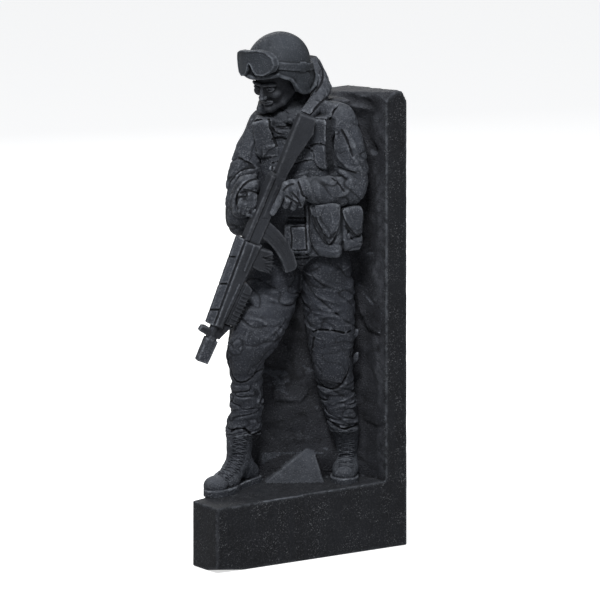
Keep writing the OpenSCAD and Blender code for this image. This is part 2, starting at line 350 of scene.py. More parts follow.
# %% Limbs and the folds round them
def curve(points, s):
    """Catmull and Rom's curve through points, at s spans from the first."""
    points = np.array(points, float)
    i = int(min(max(math.floor(s), 0), len(points) - 2))
    t = s - i
    a, b, c, d = (points[min(max(i + k, 0), len(points) - 1)] for k in (-1, 0, 1, 2))
    return 0.5 * (2 * b + (c - a) * t + (2 * a - 5 * b + 4 * c - d) * t ** 2
                  + (3 * b - a - 3 * c + d) * t ** 3)


def smoothed(points, steps=4, closed=False):
    """More points on the smooth curve through a few."""
    if not closed:
        return [curve(points, k / steps) for k in range((len(points) - 1) * steps + 1)]
    ring = list(points[-2:]) + list(points) + list(points[:2])
    return [curve(ring, 2 + k / steps) for k in range(len(points) * steps)]


def gathers(count, height, seed, slant=0.35):
    """Cloth folds round a limb: count of them along it, uneven and slanting."""
    def lift(s, angle):
        phase = s * count + slant * np.sin(angle + seed) + 0.16 * np.sin(2 * angle + 1.7 * seed)
        phase = phase + 0.11 * np.sin(3 * angle - seed + 2.1 * s)
        ridge = 1 - np.abs(2 * (phase - np.floor(phase)) - 1)
        strength = 0.6 + 0.4 * np.sin(2 * angle + 2.3 * seed + 1.9 * np.floor(phase))
        return height * strength * (ridge ** 1.6 - 0.35)
    return lift


def limb(joints, halves, side=(1, 0, 0), steps=4, folds=None):
    """A round section [side, depth] carried along a curve, as a list of short lengths."""
    spans = len(joints) - 1
    total = spans * steps
    lengths = []
    for j in range(total):
        s0, s1 = j / steps, (j + 1) / steps
        a, b = curve(joints, s0), curve(joints, s1)
        ha, hb = curve(halves, s0), curve(halves, s1)
        along = (b - a) / np.linalg.norm(b - a)
        across = np.cross(along, np.array(side, float))
        across /= np.linalg.norm(across)
        broad = np.cross(across, along)
        lengths.append(_length(a, b, ha, hb, broad, across, along, s0 / spans, s1 / spans, folds))
    return lengths


def _length(a, b, ha, hb, broad, across, along, s0, s1, folds):
    """One short length of a limb, from a to b, with the half axes of its section at both."""
    d = b - a
    square = float(d @ d)
    reach = max(ha.max(), hb.max()) + 4

    def distance(x, y, z):
        x, y, z = x - a[0], y - a[1], z - a[2]
        t = np.clip((x * d[0] + y * d[1] + z * d[2]) / square, 0, 1)
        hx, hy = ha[0] + (hb[0] - ha[0]) * t, ha[1] + (hb[1] - ha[1]) * t
        x, y, z = x - t * d[0], y - t * d[1], z - t * d[2]
        u = x * broad[0] + y * broad[1] + z * broad[2]
        v = x * across[0] + y * across[1] + z * across[2]
        w = x * along[0] + y * along[1] + z * along[2]
        if folds is not None:
            lift = folds(s0 + (s1 - s0) * t, np.arctan2(v / hy, u / hx))
            hx, hy = hx + lift, hy + lift
        hw = np.minimum(hx, hy)
        k0 = np.sqrt((u / hx) ** 2 + (v / hy) ** 2 + (w / hw) ** 2)
        k1 = np.sqrt((u / hx ** 2) ** 2 + (v / hy ** 2) ** 2 + (w / hw ** 2) ** 2)
        return k0 * (k0 - 1) / np.maximum(k1, 1e-6)
    return Shape(np.minimum(a, b) - reach, np.maximum(a, b) + reach, distance)


# %% [markdown]
# ## Drawing on the clay
# Folds, seams and panels are drawn flat, as on the front of a real block, and laid on the surface that
# the drawing meets first. A ridge adds a soft bead, a crease cuts a tapering groove, and a panel lifts
# or sinks everything inside an outline, as a carver leaves a pocket proud of a jacket.

# %% Ridges, creases and panels
PUSH_FROM, PUSH_TO = -900.0, 500.0  # how far a drawing is pushed into the stone, in millimetres
PANEL_REACH = 30.0  # a panel works this far over and under the surface that it was drawn on
PANEL_FADE = 12.0  # and fades over this depth
PAINTED_SHADE_WIDTH = 14.0  # painted shade darkens only creases that are no wider


def laid(clay, points, spacing=9.0):
    """The points of a drawing on the clay's front, with the way out of the surface at each."""
    points = [np.array(p, float) for p in points]
    dense = []
    for a, b in zip(points, points[1:]):
        count = max(1, int(np.linalg.norm(b - a) / spacing))
        dense += [a + (b - a) * k / count for k in range(count)]
    dense = np.array(dense + [points[-1]])
    start = dense[:, :1] * np.array([[1.0, 0, 0]]) + dense[:, 1:] * RISE
    start = (start - clay.at) @ clay.turn
    ray = SIGHT @ clay.turn
    t = np.arange(PUSH_FROM, PUSH_TO, clay.step)
    along = start[:, None, :] + t[None, :, None] * ray
    index = np.round((along - clay.low) / clay.step).astype(int)
    valid = ((index >= 0) & (index < clay.counts)).all(axis=2)
    index = np.clip(index, 0, clay.counts - 1)
    depth = np.where(valid, clay.field[index[..., 0], index[..., 1], index[..., 2]], FAR)
    met = depth < 0
    first = np.where(met.any(axis=1), met.argmax(axis=1), depth.argmin(axis=1))
    rows = np.arange(len(dense))
    at = along[rows, first] + ray * (depth[rows, first] * 0.7)[:, None]
    keep = depth[rows, first] < 2.5 * clay.step
    at = at[keep]
    out = np.stack([clay.value(at + e) - clay.value(at - e) for e in np.eye(3) * clay.step * 1.5], 1)
    return at, out / np.maximum(np.linalg.norm(out, axis=1, keepdims=True), 1e-6)


def tapering(count):
    """A line's strength from end to end: full in the middle, fading at both ends."""
    t = np.linspace(0, 1, count) if count > 1 else np.array([0.5])
    return np.minimum(1.0, 3.2 * np.minimum(t, 1 - t) + 0.12)


def ridge(clay, points, width=16.0, height=4.0, soft=8.0):
    """A soft bead along a line."""
    points = smoothed(points) if len(points) > 2 else points
    at, out = laid(clay, points)
    if len(at) < 2:
        return
    radius = width / 2
    centres = at + out * (height * tapering(len(at)) - radius)[:, None]
    clay.add(path(list(centres), radius), soft)


def crease(clay, points, width=6.0, depth=5.0, soft=3.0, taper=True):
    """A groove along a line, darkened with painted shade unless it is wide."""
    points = smoothed(points) if len(points) > 2 else points
    at, out = laid(clay, points)
    if len(at) < 2:
        return
    radius = width / 2
    scale = tapering(len(at)) if taper else np.ones(len(at))
    centres = at + out * (radius - depth * scale)[:, None]
    groove = path(list(centres), radius)
    clay.cut(groove, soft)
    if width > PAINTED_SHADE_WIDTH:
        return
    # Painted shade along the groove, fading within a few millimetres of it.
    part, distance = clay.measured(groove, 6.0)
    clay.painted_shade[part] = np.maximum(clay.painted_shade[part], np.clip(1.15 - np.maximum(distance, 0) / 3.0, 0, 1))


def panel(clay, outline, lift, edge=4.0, smooth=False, sloped=False, painted_shade=0.0):
    """Lifts the clay's front inside an outline, or sinks it where lift is negative. A sloped panel
    starts from nothing at its top, so its face looks up. It can also darken with painted shade."""
    outline = smoothed(outline, 4, closed=True) if smooth else outline
    outline = np.array(outline, float)
    at, _ = laid(clay, list(outline) + [outline.mean(axis=0)])
    if len(at) == 0:
        return
    depths = clay.in_figure(at) @ SIGHT
    deepest, shallow = depths.max() + PANEL_REACH, depths.min() - PANEL_REACH
    part, (x, y, z) = clay.window(at.min(axis=0), at.max(axis=0), PANEL_REACH)
    figure = clay.coordinates(x, y, z)
    height = RISE[1] * figure[1] + RISE[2] * figure[2]
    depth = SIGHT[1] * figure[1] + SIGHT[2] * figure[2]
    inside = np.clip(0.5 - outline_distance(figure[0], height, outline) / edge, 0, 1)
    if sloped:
        top, bottom = outline[:, 1].max(), outline[:, 1].min()
        lift = lift * np.clip((top - height) / (top - bottom), 0, 1)
    fade = np.clip((deepest - depth) / PANEL_FADE, 0, 1) * np.clip((depth - shallow) / PANEL_FADE, 0, 1)
    clay.field[part] -= lift * inside * inside * (3 - 2 * inside) * fade
    clay.painted_shade[part] = np.maximum(clay.painted_shade[part], painted_shade * inside * fade)


# %% [markdown]
# ## From clay to skin
# A surface net puts one point in every cell that the surface crosses, at the middle of its crossings,
# and joins neighbours with four-sided faces. It keeps soft forms smooth and closed. Each point also
# learns how the stone lies round it: one value is high on ridges, which the material makes paler, as
# worn granite and as a painted highlight, and one is high in creases, which it darkens with painted
# shade. The painted shade drawn on the clay joins the second. The material reads both.

# %% Skin a piece of clay
RIDGE_LIGHT_REACH, PAINTED_SHADE_REACH = 7.0, 10.0  # how far round a point its ridge or hollow is felt, in millimetres
WEAR_GAIN = 4.5


def net(field):
    """Points and four-sided faces of the surface where the field changes sign, in grid steps."""
    inside = field < 0
    size = [n - 1 for n in field.shape]
    full = np.zeros(size, np.int8)
    for c in np.ndindex(2, 2, 2):
        full += inside[c[0]:c[0] + size[0], c[1]:c[1] + size[1], c[2]:c[2] + size[2]]
    crossed = (full > 0) & (full < 8)
    cells = np.argwhere(crossed)
    number = np.full(size, -1, np.int64)
    number[crossed] = np.arange(len(cells))
    total, count = np.zeros((len(cells), 3)), np.zeros(len(cells))
    for axis in range(3):
        step = np.eye(3, dtype=int)[axis]
        for c in np.ndindex(2, 2, 2):
            if c[axis]:
                continue
            start = cells + np.array(c)
            a = field[tuple(start.T)]
            b = field[tuple((start + step).T)]
            cross = (a < 0) != (b < 0)
            t = np.where(cross, a / np.where(cross, a - b, 1), 0)
            total += cross[:, None] * (np.array(c) + t[:, None] * step)
            count += cross
    points = cells + total / count[:, None]
    faces = []
    for axis in range(3):
        other = [k for k in range(3) if k != axis]
        one = [slice(1, -1)] * 3
        two = [slice(1, -1)] * 3
        one[axis], two[axis] = slice(0, -1), slice(1, None)
        a, b = inside[tuple(one)], inside[tuple(two)]
        at = np.argwhere(a != b)
        outward = a[tuple(at.T)]
        at[:, other] += 1
        u, v = np.eye(3, dtype=int)[other[0]], np.eye(3, dtype=int)[other[1]]
        corners = [number[tuple((at - k).T)] for k in (u + v, v, 0 * u, u)]
        quads = np.stack(corners, axis=1)
        flip = outward if axis != 1 else ~outward
        quads[~flip] = quads[~flip][:, ::-1]
        faces.append(quads)
    return points, np.concatenate(faces)


def spread(field, cells):
    """The mean of the field over a cube of cells each way, by running sums."""
    for axis in range(3):
        pad = [(cells + 1, cells) if k == axis else (0, 0) for k in range(3)]
        run = np.cumsum(np.pad(field, pad, mode="edge"), axis=axis, dtype=np.float32)
        n = field.shape[axis]
        width = 2 * cells + 1
        field = (np.take(run, range(width, width + n), axis) - np.take(run, range(n), axis)) / width
    return field


def mesh_from(name, points, faces):
    """A mesh of faces that all have the same number of corners."""
    mesh = bpy.data.meshes.new(name)
    mesh.vertices.add(len(points))
    mesh.vertices.foreach_set("co", np.asarray(points, np.float32).ravel())
    mesh.loops.add(faces.size)
    mesh.loops.foreach_set("vertex_index", faces.astype(np.int32).ravel())
    mesh.polygons.add(len(faces))
    mesh.polygons.foreach_set("loop_start", np.arange(0, faces.size, faces.shape[1], dtype=np.int32))
    mesh.update(calc_edges=True)
    mesh.validate()
    return mesh


def plain_mesh(obj, name):
    """A plain mesh of an object with its modifiers carried out."""
    graph = bpy.context.evaluated_depsgraph_get()
    graph.update()
    mesh = bpy.data.meshes.new_from_object(obj.evaluated_get(graph))
    mesh.name = name
    return mesh


def skinned(clay, name, material, triangles):
    """The clay's surface as an object of at most so many triangles, in the block's frame."""
    clay.field[[0, -1]] = np.maximum(clay.field[[0, -1]], 0.5)
    clay.field[:, [0, -1]] = np.maximum(clay.field[:, [0, -1]], 0.5)
    clay.field[:, :, [0, -1]] = np.maximum(clay.field[:, :, [0, -1]], 0.5)
    points, faces = net(clay.field)
    mesh = mesh_from(name, clay.low + points * clay.step, faces)
    obj = bpy.data.objects.new(name, mesh)
    bpy.context.scene.collection.objects.link(obj)
    found = 2 * len(faces)
    if found > triangles:
        thin = obj.modifiers.new("thin", "DECIMATE")
        thin.ratio = triangles / found
        slim = plain_mesh(obj, name)
        obj.modifiers.clear()
        obj.data = slim
        bpy.data.meshes.remove(mesh)
        mesh = slim
    at = np.empty(len(mesh.vertices) * 3, np.float32)
    mesh.vertices.foreach_get("co", at)
    at = at.reshape(-1, 3).astype(float)
    solid = np.clip(0.5 - clay.field / (2 * clay.step), 0, 1)
    painted_shade_at_points = Clay.value(_with_field(clay, clay.painted_shade), at)
    # Ridges give the value for worn stone and painted highlight; hollows and the drawn painted shade give
    # the value for painted shade.
    for label, reach, sign in (("worn", RIDGE_LIGHT_REACH, -1), ("painted_shade_level", PAINTED_SHADE_REACH, 1)):
        cells = max(1, round(reach / clay.step))
        held = Clay.value(_with_field(clay, spread(solid, cells)), at)
        values = np.clip(sign * (held - 0.5) * WEAR_GAIN, 0, 1)
        values = np.maximum(values, painted_shade_at_points) if label == "painted_shade_level" else values * (1 - painted_shade_at_points)
        values = values.astype(np.float32)
        layer = mesh.attributes.new(label, "FLOAT", "POINT")
        layer.data.foreach_set("value", values)
    mesh.vertices.foreach_set("co", clay.in_block(at).astype(np.float32).ravel())
    mesh.polygons.foreach_set("use_smooth", np.ones(len(mesh.polygons), bool))
    mesh.materials.clear()
    mesh.materials.append(material)
    mesh.update()
    print(name, "has", sum(len(p.vertices) - 2 for p in mesh.polygons), "triangles, from", found)
    return obj


def refinished(piece, materials, chosen):
    """More finishes. Chosen gives each face's, counted from 1, from its middle in millimetres and its
    normal, or 0 where the face keeps its first."""
    mesh = piece.data
    for material in materials:
        mesh.materials.append(material)
    centres, normals = np.empty((2, len(mesh.polygons) * 3), np.float32)
    mesh.polygons.foreach_get("center", centres)
    mesh.polygons.foreach_get("normal", normals)
    picked = chosen(centres.reshape(-1, 3) / MM, normals.reshape(-1, 3)).astype(np.int32)
    mesh.polygons.foreach_set("material_index", picked)
    print(piece.name, "has", [int((picked == k + 1).sum()) for k in range(len(materials))],
          "faces in", ", ".join(m.name for m in materials))


def _with_field(clay, field):
    """The same grid with other numbers in it."""
    other = Clay.__new__(Clay)
    other.low, other.step, other.counts, other.field = clay.low, clay.step, clay.counts, field
    return other


# %% [markdown]
# ## The granite
# Close to, the stone is a dark grey granite with pale flecks a few millimetres across. Where it is sawn
# or honed it is nearly black, where the point chisel has bruised it, it is lighter, and its worn edges
# are lighter still, with a painted highlight on them too. Four effects are shared, so each is a node
# group: the flecks of the grain, the wear and painted highlight of ridges with the painted shade of
# creases, the bruises of the tool, and the dust and rain streaks.

# %% Node helpers
def group(name, inputs, outputs):
    """An empty node group with its sockets."""
    tree = bpy.data.node_groups.new(name, "ShaderNodeTree")
    for label, kind, value in inputs:
        socket = tree.interface.new_socket(label, in_out="INPUT", socket_type=kind)
        socket.default_value = value
    for label, kind in outputs:
        tree.interface.new_socket(label, in_out="OUTPUT", socket_type=kind)
    return tree, tree.nodes.new("NodeGroupInput"), tree.nodes.new("NodeGroupOutput")


def node(tree, kind, links=None, **settings):
    """A node with some settings and links, given as input: (socket or plain value)."""
    made = tree.nodes.new(kind)
    for key, value in settings.items():
        setattr(made, key, value)
    for key, value in (links or {}).items():
        socket = made.inputs[key]
        if isinstance(value, bpy.types.NodeSocket):
            tree.links.new(value, socket)
        else:
            socket.default_value = value
    return made


def between(tree, value, low, high, to_low=0.0, to_high=1.0):
    """A value stretched from one range to another and held inside it."""
    made = node(tree, "ShaderNodeMapRange", {"Value": value, "From Min": low, "From Max": high,
                                             "To Min": to_low, "To Max": to_high})
    return made.outputs["Result"]


def maths(tree, kind, a, b):
    """Two values joined by an operation."""
    made = node(tree, "ShaderNodeMath", {0: a, 1: b}, operation=kind)
    return made.outputs[0]


def noisy(tree, place, scale, detail, roughness=0.5):
    """Cloudy noise at a place, with so many bumps to the metre."""
    return node(tree, "ShaderNodeTexNoise", {"Vector": place, "Scale": scale, "Detail": detail,
                                             "Roughness": roughness})


def mixed(tree, factor, a, b):
    """Two colours mixed by a factor."""
    made = node(tree, "ShaderNodeMix", {0: factor, 6: a, 7: b}, data_type="RGBA")
    return made.outputs[2]


# %% [markdown]
# The grain is noise at several scales: crystals too small to tell apart, pale flecks of feldspar, and slow
# clouds from light to dark. The flecks come in drifts, because an even scatter looks like printed paper.

# %% The grain: flecks and crystals
NUMBER, VECTOR = "NodeSocketFloat", "NodeSocketVector"


def make_grain():
    """Pale flecks of feldspar in a dark ground, in drifts, with a fine crystal roughness."""
    tree, given, out = group("granite_grain", [
        ("Place", VECTOR, (0, 0, 0)), ("Fleck Size", NUMBER, 0.006), ("Fleck Amount", NUMBER, 0.3)],
        [("Flecks", NUMBER), ("Crystals", NUMBER), ("Cloud", NUMBER)])
    place = given.outputs["Place"]
    per_metre = maths(tree, "DIVIDE", 1.0, given.outputs["Fleck Size"])
    spots = noisy(tree, place, per_metre, 2.0, 0.8)
    drifts = noisy(tree, place, 16.0, 3.0, 0.6)
    limit = maths(tree, "SUBTRACT", 0.74, maths(tree, "MULTIPLY", given.outputs["Fleck Amount"], 0.5))
    shifted = maths(tree, "SUBTRACT", spots.outputs[0], limit)
    body = between(tree, shifted, 0.0, 0.07)
    strength = maths(tree, "MULTIPLY", body, between(tree, drifts.outputs[0], 0.4, 0.6, 0.1, 1.0))
    fine = noisy(tree, place, 330.0, 3.0, 0.65)
    cloud = noisy(tree, place, 6.0, 5.0, 0.6)
    tree.links.new(strength, out.inputs["Flecks"])
    tree.links.new(fine.outputs[0], out.inputs["Crystals"])
    tree.links.new(cloud.outputs[0], out.inputs["Cloud"])
    return tree


# %% [markdown]
# Three more effects lie over the grain. Wear and painted light read what the skin learnt about its ridges
# and hollows: ridges turn paler as worn stone and as a painted highlight, hollows darker as painted shade.
# Bruises are Voronoi cells, bent a little so that they stand in no rows. Dust and streaks follow the way
# a face looks, since dust needs a floor and rain needs a wall.

# %% Wear, tool bruises and dust
def make_wear():
    """How light the ridges are, as wear and painted highlight, and how dark the creases are, as painted
    shade, broken up so that no line is even.
    """
    tree, given, out = group("edge_wear", [
        ("Place", VECTOR, (0, 0, 0)), ("Ridge", NUMBER, 1.0), ("Crease", NUMBER, 1.0)],
        [("Light", NUMBER), ("Dark", NUMBER)])
    place = given.outputs["Place"]
    worn = node(tree, "ShaderNodeAttribute", attribute_name="worn").outputs["Fac"]
    painted_shade_level = node(tree, "ShaderNodeAttribute", attribute_name="painted_shade_level").outputs["Fac"]
    patchy = noisy(tree, place, 38.0, 6.0, 0.75)
    broken = between(tree, patchy.outputs[0], 0.4, 0.6, 0.08, 1.0)
    light = maths(tree, "MULTIPLY", between(tree, worn, 0.1, 0.7), broken)
    dark = between(tree, painted_shade_level, 0.06, 0.8)
    tree.links.new(maths(tree, "MULTIPLY", light, given.outputs["Ridge"]), out.inputs["Light"])
    tree.links.new(maths(tree, "MULTIPLY", dark, given.outputs["Crease"]), out.inputs["Dark"])
    return tree


def make_bruises():
    """The dots that a point chisel leaves: small pale pits, in drifts."""
    tree, given, out = group("tool_bruises", [
        ("Place", VECTOR, (0, 0, 0)), ("Spacing", NUMBER, 0.009), ("Amount", NUMBER, 0.5)],
        [("Bruise", NUMBER), ("Pit", NUMBER)])
    place = given.outputs["Place"]
    per_metre = maths(tree, "DIVIDE", 1.0, given.outputs["Spacing"])
    bent = noisy(tree, place, 60.0, 3.0)
    shift = node(tree, "ShaderNodeVectorMath", {0: bent.outputs["Color"], 1: (0.012, 0.012, 0.012)},
                 operation="MULTIPLY")
    moved = node(tree, "ShaderNodeVectorMath", {0: place, 1: shift.outputs[0]}, operation="ADD")
    pits = node(tree, "ShaderNodeTexVoronoi", {"Vector": moved.outputs[0], "Scale": per_metre,
                                               "Randomness": 0.9})
    drift = noisy(tree, place, 17.0, 4.0, 0.6)
    where = between(tree, drift.outputs[0], 0.6, 0.42, 0.12, 1.0)
    centre = between(tree, pits.outputs["Distance"], 0.5, 0.1)
    bruise = maths(tree, "MULTIPLY", maths(tree, "MULTIPLY", centre, where), given.outputs["Amount"])
    tree.links.new(bruise, out.inputs["Bruise"])
    tree.links.new(centre, out.inputs["Pit"])
    return tree


def make_dust():
    """Dust on faces that look up, and faint streaks where rain runs down the sides."""
    tree, given, out = group("dust_and_streaks", [
        ("Place", VECTOR, (0, 0, 0)), ("Dust", NUMBER, 0.3), ("Streaks", NUMBER, 0.3)],
        [("Dust", NUMBER), ("Streak", NUMBER)])
    place = given.outputs["Place"]
    facing = node(tree, "ShaderNodeNewGeometry").outputs["Normal"]
    up = node(tree, "ShaderNodeSeparateXYZ", {0: facing}).outputs[2]
    long = node(tree, "ShaderNodeMapping", {"Vector": place, "Scale": (42.0, 42.0, 2.4)})
    runs = noisy(tree, long.outputs[0], 1.0, 5.0, 0.6)
    speck = noisy(tree, place, 45.0, 5.0, 0.7)
    dust = maths(tree, "MULTIPLY", between(tree, up, 0.25, 1.0),
                 between(tree, speck.outputs[0], 0.3, 0.7))
    side = between(tree, up, 0.5, 0.1)
    streak = maths(tree, "MULTIPLY", side, between(tree, runs.outputs[0], 0.5, 0.75))
    tree.links.new(maths(tree, "MULTIPLY", dust, given.outputs["Dust"]), out.inputs["Dust"])
    tree.links.new(maths(tree, "MULTIPLY", streak, given.outputs["Streaks"]), out.inputs["Streak"])
    return tree


GROUPS = {"grain": make_grain(), "wear": make_wear(), "bruises": make_bruises(), "dust": make_dust()}
print("shared effects:", ", ".join(g.name for g in GROUPS.values()))


# %% [markdown]
# Each finish places the same groups with its own values. The colours are linear: the ground of the stone
# reflects from half a part to some three parts in a hundred, and a bruised or dusty place about four times
# that or more.

# %% Finishes of the stone
FLECK_SIZE, PIT_SPACING = 0.0055, 0.0085
PIT_DEPTH, CRYSTAL_HEIGHT = 0.0016, 0.0011


def stone(name, ground, bruised, fleck, fleck_amount, bruise, wear, dust, streaks, rough, relief):
    """A finish: three colours of the stone, how much of each effect, its roughness and its relief."""
    material = bpy.data.materials.new(name)
    material.use_nodes = True
    tree = material.node_tree
    shader = tree.nodes["Principled BSDF"]
    place = node(tree, "ShaderNodeTexCoord").outputs["Object"]

    def shade(linear, factor):
        return [c * factor for c in linear[:3]] + [1]

    def effect(key, **values):
        made = tree.nodes.new("ShaderNodeGroup")
        made.node_tree = GROUPS[key]
        tree.links.new(place, made.inputs["Place"])
        for label, value in values.items():
            made.inputs[label.replace("_", " ")].default_value = value
        return made

    grain = effect("grain", Fleck_Size=FLECK_SIZE, Fleck_Amount=fleck_amount)
    worn = effect("wear", Ridge=wear, Crease=0.95)
    tool = effect("bruises", Spacing=PIT_SPACING, Amount=bruise)
    dusty = effect("dust", Dust=dust, Streaks=streaks)
    tone = between(tree, grain.outputs["Cloud"], 0.32, 0.66)
    colour = mixed(tree, tone, shade(ground, 0.7), shade(ground, 1.3))
    colour = mixed(tree, tool.outputs["Bruise"], colour, bruised)
    colour = mixed(tree, grain.outputs["Flecks"], colour, fleck)
    colour = mixed(tree, dusty.outputs["Dust"], colour, bruised)
    colour = mixed(tree, dusty.outputs["Streak"], colour, shade(ground, 1.7))
    # Ridges turn paler as worn stone and a painted highlight; creases turn darker with painted shade.
    colour = mixed(tree, worn.outputs["Light"], colour, shade(bruised, 1.3))
    colour = mixed(tree, worn.outputs["Dark"], colour, shade(ground, 0.22))
    tree.links.new(colour, shader.inputs["Base Color"])
    sheen = between(tree, grain.outputs["Crystals"], 0.3, 0.7, rough - 0.07, rough + 0.07)
    tree.links.new(maths(tree, "ADD", sheen, maths(tree, "MULTIPLY", worn.outputs["Dark"], 0.1)),
                   shader.inputs["Roughness"])
    pitted = maths(tree, "MULTIPLY", maths(tree, "MULTIPLY", tool.outputs["Pit"], -PIT_DEPTH), relief)
    grainy = maths(tree, "MULTIPLY", grain.outputs["Crystals"], CRYSTAL_HEIGHT * relief)
    height = maths(tree, "ADD", pitted, grainy)
    bump = node(tree, "ShaderNodeBump", {"Height": height, "Strength": 1.0, "Distance": 1.0})
    tree.links.new(bump.outputs[0], shader.inputs["Normal"])
    shader.inputs["Specular IOR Level"].default_value = 0.16
    return material


PALE = (0.105, 0.113, 0.128, 1)
carved = stone("carved_granite", ground=(0.027, 0.030, 0.037, 1), bruised=PALE,
               fleck=(0.13, 0.135, 0.145, 1), fleck_amount=0.2, bruise=0.75, wear=1.0,
               dust=0.5, streaks=0.0, rough=0.8, relief=1.6)
shaded = stone("shaded_granite", ground=(0.0165, 0.0185, 0.024, 1), bruised=(0.078, 0.084, 0.097, 1),
               fleck=(0.1, 0.105, 0.115, 1), fleck_amount=0.2, bruise=0.62, wear=1.0,
               dust=0.4, streaks=0.0, rough=0.8, relief=1.5)
honed = stone("honed_granite", ground=(0.0195, 0.0225, 0.0275, 1), bruised=(0.08, 0.087, 0.1, 1),
              fleck=(0.1, 0.105, 0.115, 1), fleck_amount=0.14, bruise=0.42, wear=0.6,
              dust=0.4, streaks=0.0, rough=0.75, relief=0.9)
plain = stone("plain_granite", ground=(0.0155, 0.017, 0.0208, 1), bruised=(0.075, 0.08, 0.09, 1),
              fleck=(0.08, 0.084, 0.09, 1), fleck_amount=0.1, bruise=0.12, wear=0.5,
              dust=0.3, streaks=0.0, rough=0.75, relief=0.6)
hewn = stone("hewn_granite", ground=(0.0145, 0.0155, 0.019, 1), bruised=(0.062, 0.066, 0.076, 1),
             fleck=(0.085, 0.088, 0.095, 1), fleck_amount=0.2, bruise=0.45, wear=0.8,
             dust=0.5, streaks=0.1, rough=0.8, relief=1.8)
sawn = stone("sawn_granite", ground=(0.0056, 0.0062, 0.0078, 1), bruised=(0.05, 0.054, 0.062, 1),
             fleck=(0.095, 0.098, 0.106, 1), fleck_amount=0.31, bruise=0.25, wear=1.0,
             dust=0.3, streaks=1.0, rough=0.8, relief=0.6)
print("finishes: carved, shaded, honed, plain, hewn and sawn")


# %% [markdown]
# ## The block
# The plinth and the pillar's two outer sides are sawn flat, so they are planes with a worn edge. The
# rock behind the soldier was split off with a point chisel, which leaves flat facets: heights at the
# corners of triangles, filled in flat, at three sizes from a hand's breadth down to a finger's.

# %% Facets of hewn rock
LATTICE = 97  # the random heights repeat after so many cells


def hewn_facets(u, v, cell, seed):
    """A surface of flat triangular facets about a cell wide, between -1 and 1."""
    heights = np.random.default_rng(seed).uniform(-1, 1, [LATTICE] * 2).astype(np.float32)
    a, b = (u + 0.31 * v) / cell, (v - 0.22 * u) / cell
    i, j = np.floor(a), np.floor(b)
    f, g = a - i, b - j
    i, j = i.astype(int), j.astype(int)
    h00, h10 = heights[i % LATTICE, j % LATTICE], heights[(i + 1) % LATTICE, j % LATTICE]
    h01 = heights[i % LATTICE, (j + 1) % LATTICE]
    h11 = heights[(i + 1) % LATTICE, (j + 1) % LATTICE]
    lower = h00 + f * (h10 - h00) + g * (h01 - h00)
    upper = h11 + (1 - f) * (h01 - h11) + (1 - g) * (h10 - h11)
    return np.where(f + g < 1, lower, upper)


def hewn_rock(u, v, height, seed, middle_share=0.5, fine_share=0.22):
    """Coarse facets with middling and fine ones over them."""
    coarse = hewn_facets(u, v, 96.0, seed)
    middle = hewn_facets(u + 20 * coarse, v, 37.0, seed + 1)
    fine = hewn_facets(u, v + 9 * middle, 15.0, seed + 2)
    return height * (coarse + middle_share * middle + fine_share * fine)


# %% [markdown]
# The plinth is its outline carried up to a top that rises a little towards the pillar. The pillar is the
# largest of several distances, which is what its sides have in common: the split front, the left side,
# the back, the sawn outer side and the crown. Each rock outline is a few heights or depths, joined up.

# %% Planes and facets of the block
LENGTH, DEPTH = 868.0, 410.0
PLINTH, RISING, TOP = 255.0, 9.0, 1782.0
STRIP_WIDTH = 94.0
END, FRONT, BACK = LENGTH / 2, -DEPTH / 2, 201.0
DIAGONAL = 0.707
PLAN = [(-END, FRONT), (END, FRONT), (END, -FRONT), (-134, -FRONT), (-377, -22), (-END, -37)]
ROCK_SIDE = [-215, -150, -60, 20, 90, 150, 205, 255, 300, 329]
ROCK_FOOT = [5, -20, 6, 14, 14, 24, 40, 40, 4, -34]
ROCK_BODY = [70, 55, 40, 40, 50, 60, 72, 58, 14, -34]
ROCK_UP = [-40, 60, 170, 290, 420, 560, 700, 850, 1000, 1130, 1250, 1360, 1440, 1600]
ROCK_LEFT = [-215, -215, -215, -212, -205, -190, -168, -190, -200, -200, -190, -140, -95, -80]


def plinth_distance(x, y, z, chips):
    """The sawn plinth, with chipped upper edges and its lower front corner at the left end broken."""
    plan = outline_distance(x, y, PLAN) + 0 * z
    top = z - PLINTH - RISING * (x + END) / LENGTH
    edge = (plan + top + 4 + chips) * DIAGONAL
    corner = (-(x + END) - (y - FRONT) + 8 + 1.8 * chips) * DIAGONAL
    plinth = np.maximum(np.maximum(plan, top), np.maximum(edge, corner))
    plinth = np.maximum(plinth, -z)
    return np.maximum(plinth, ((-END - x) / 130 + (FRONT - y) / 76 - z / 18 + 1) * 16)


def crown_distance(x, y, z):
    """The pillar's broken top: a crest, a split falling from it to the left, and a chipped shoulder."""
    crest = z - TOP + 0.02 * (x - 382) + 0.147 * (y - FRONT)
    split = z - TOP - 0.714 * (x - 382) - 0.136 * (y - FRONT)
    shoulder = z - TOP + 2 + 2.0 * (x - 414)
    low_left = z - TOP + 44 + hewn_facets(x, y, 60, 71) * 6
    crown = np.maximum(np.maximum(crest, np.minimum(split, low_left) * 0.81), shoulder * 0.45)
    return crown + hewn_facets(x, y, 40, 72) * 2.0


def rock_front(side, up):
    """How far back the rock lies behind the soldier, from its foot to its body."""
    foot = np.interp(side, ROCK_SIDE, ROCK_FOOT).astype(np.float32)
    body = np.interp(side, ROCK_SIDE, ROCK_BODY).astype(np.float32)
    rising = np.clip((up - 40) / 420, 0, 1)
    inward = np.interp(side, [-215, 230, 329], [1.0, 1.0, 0.0]).astype(np.float32)
    relief = np.interp(up, [-40, 560, 860], [12.0, 14.0, 27.0]).astype(np.float32)
    return foot + (body - foot) * rising + hewn_rock(side, up, relief, 11, 0.3, 0.1) * inward


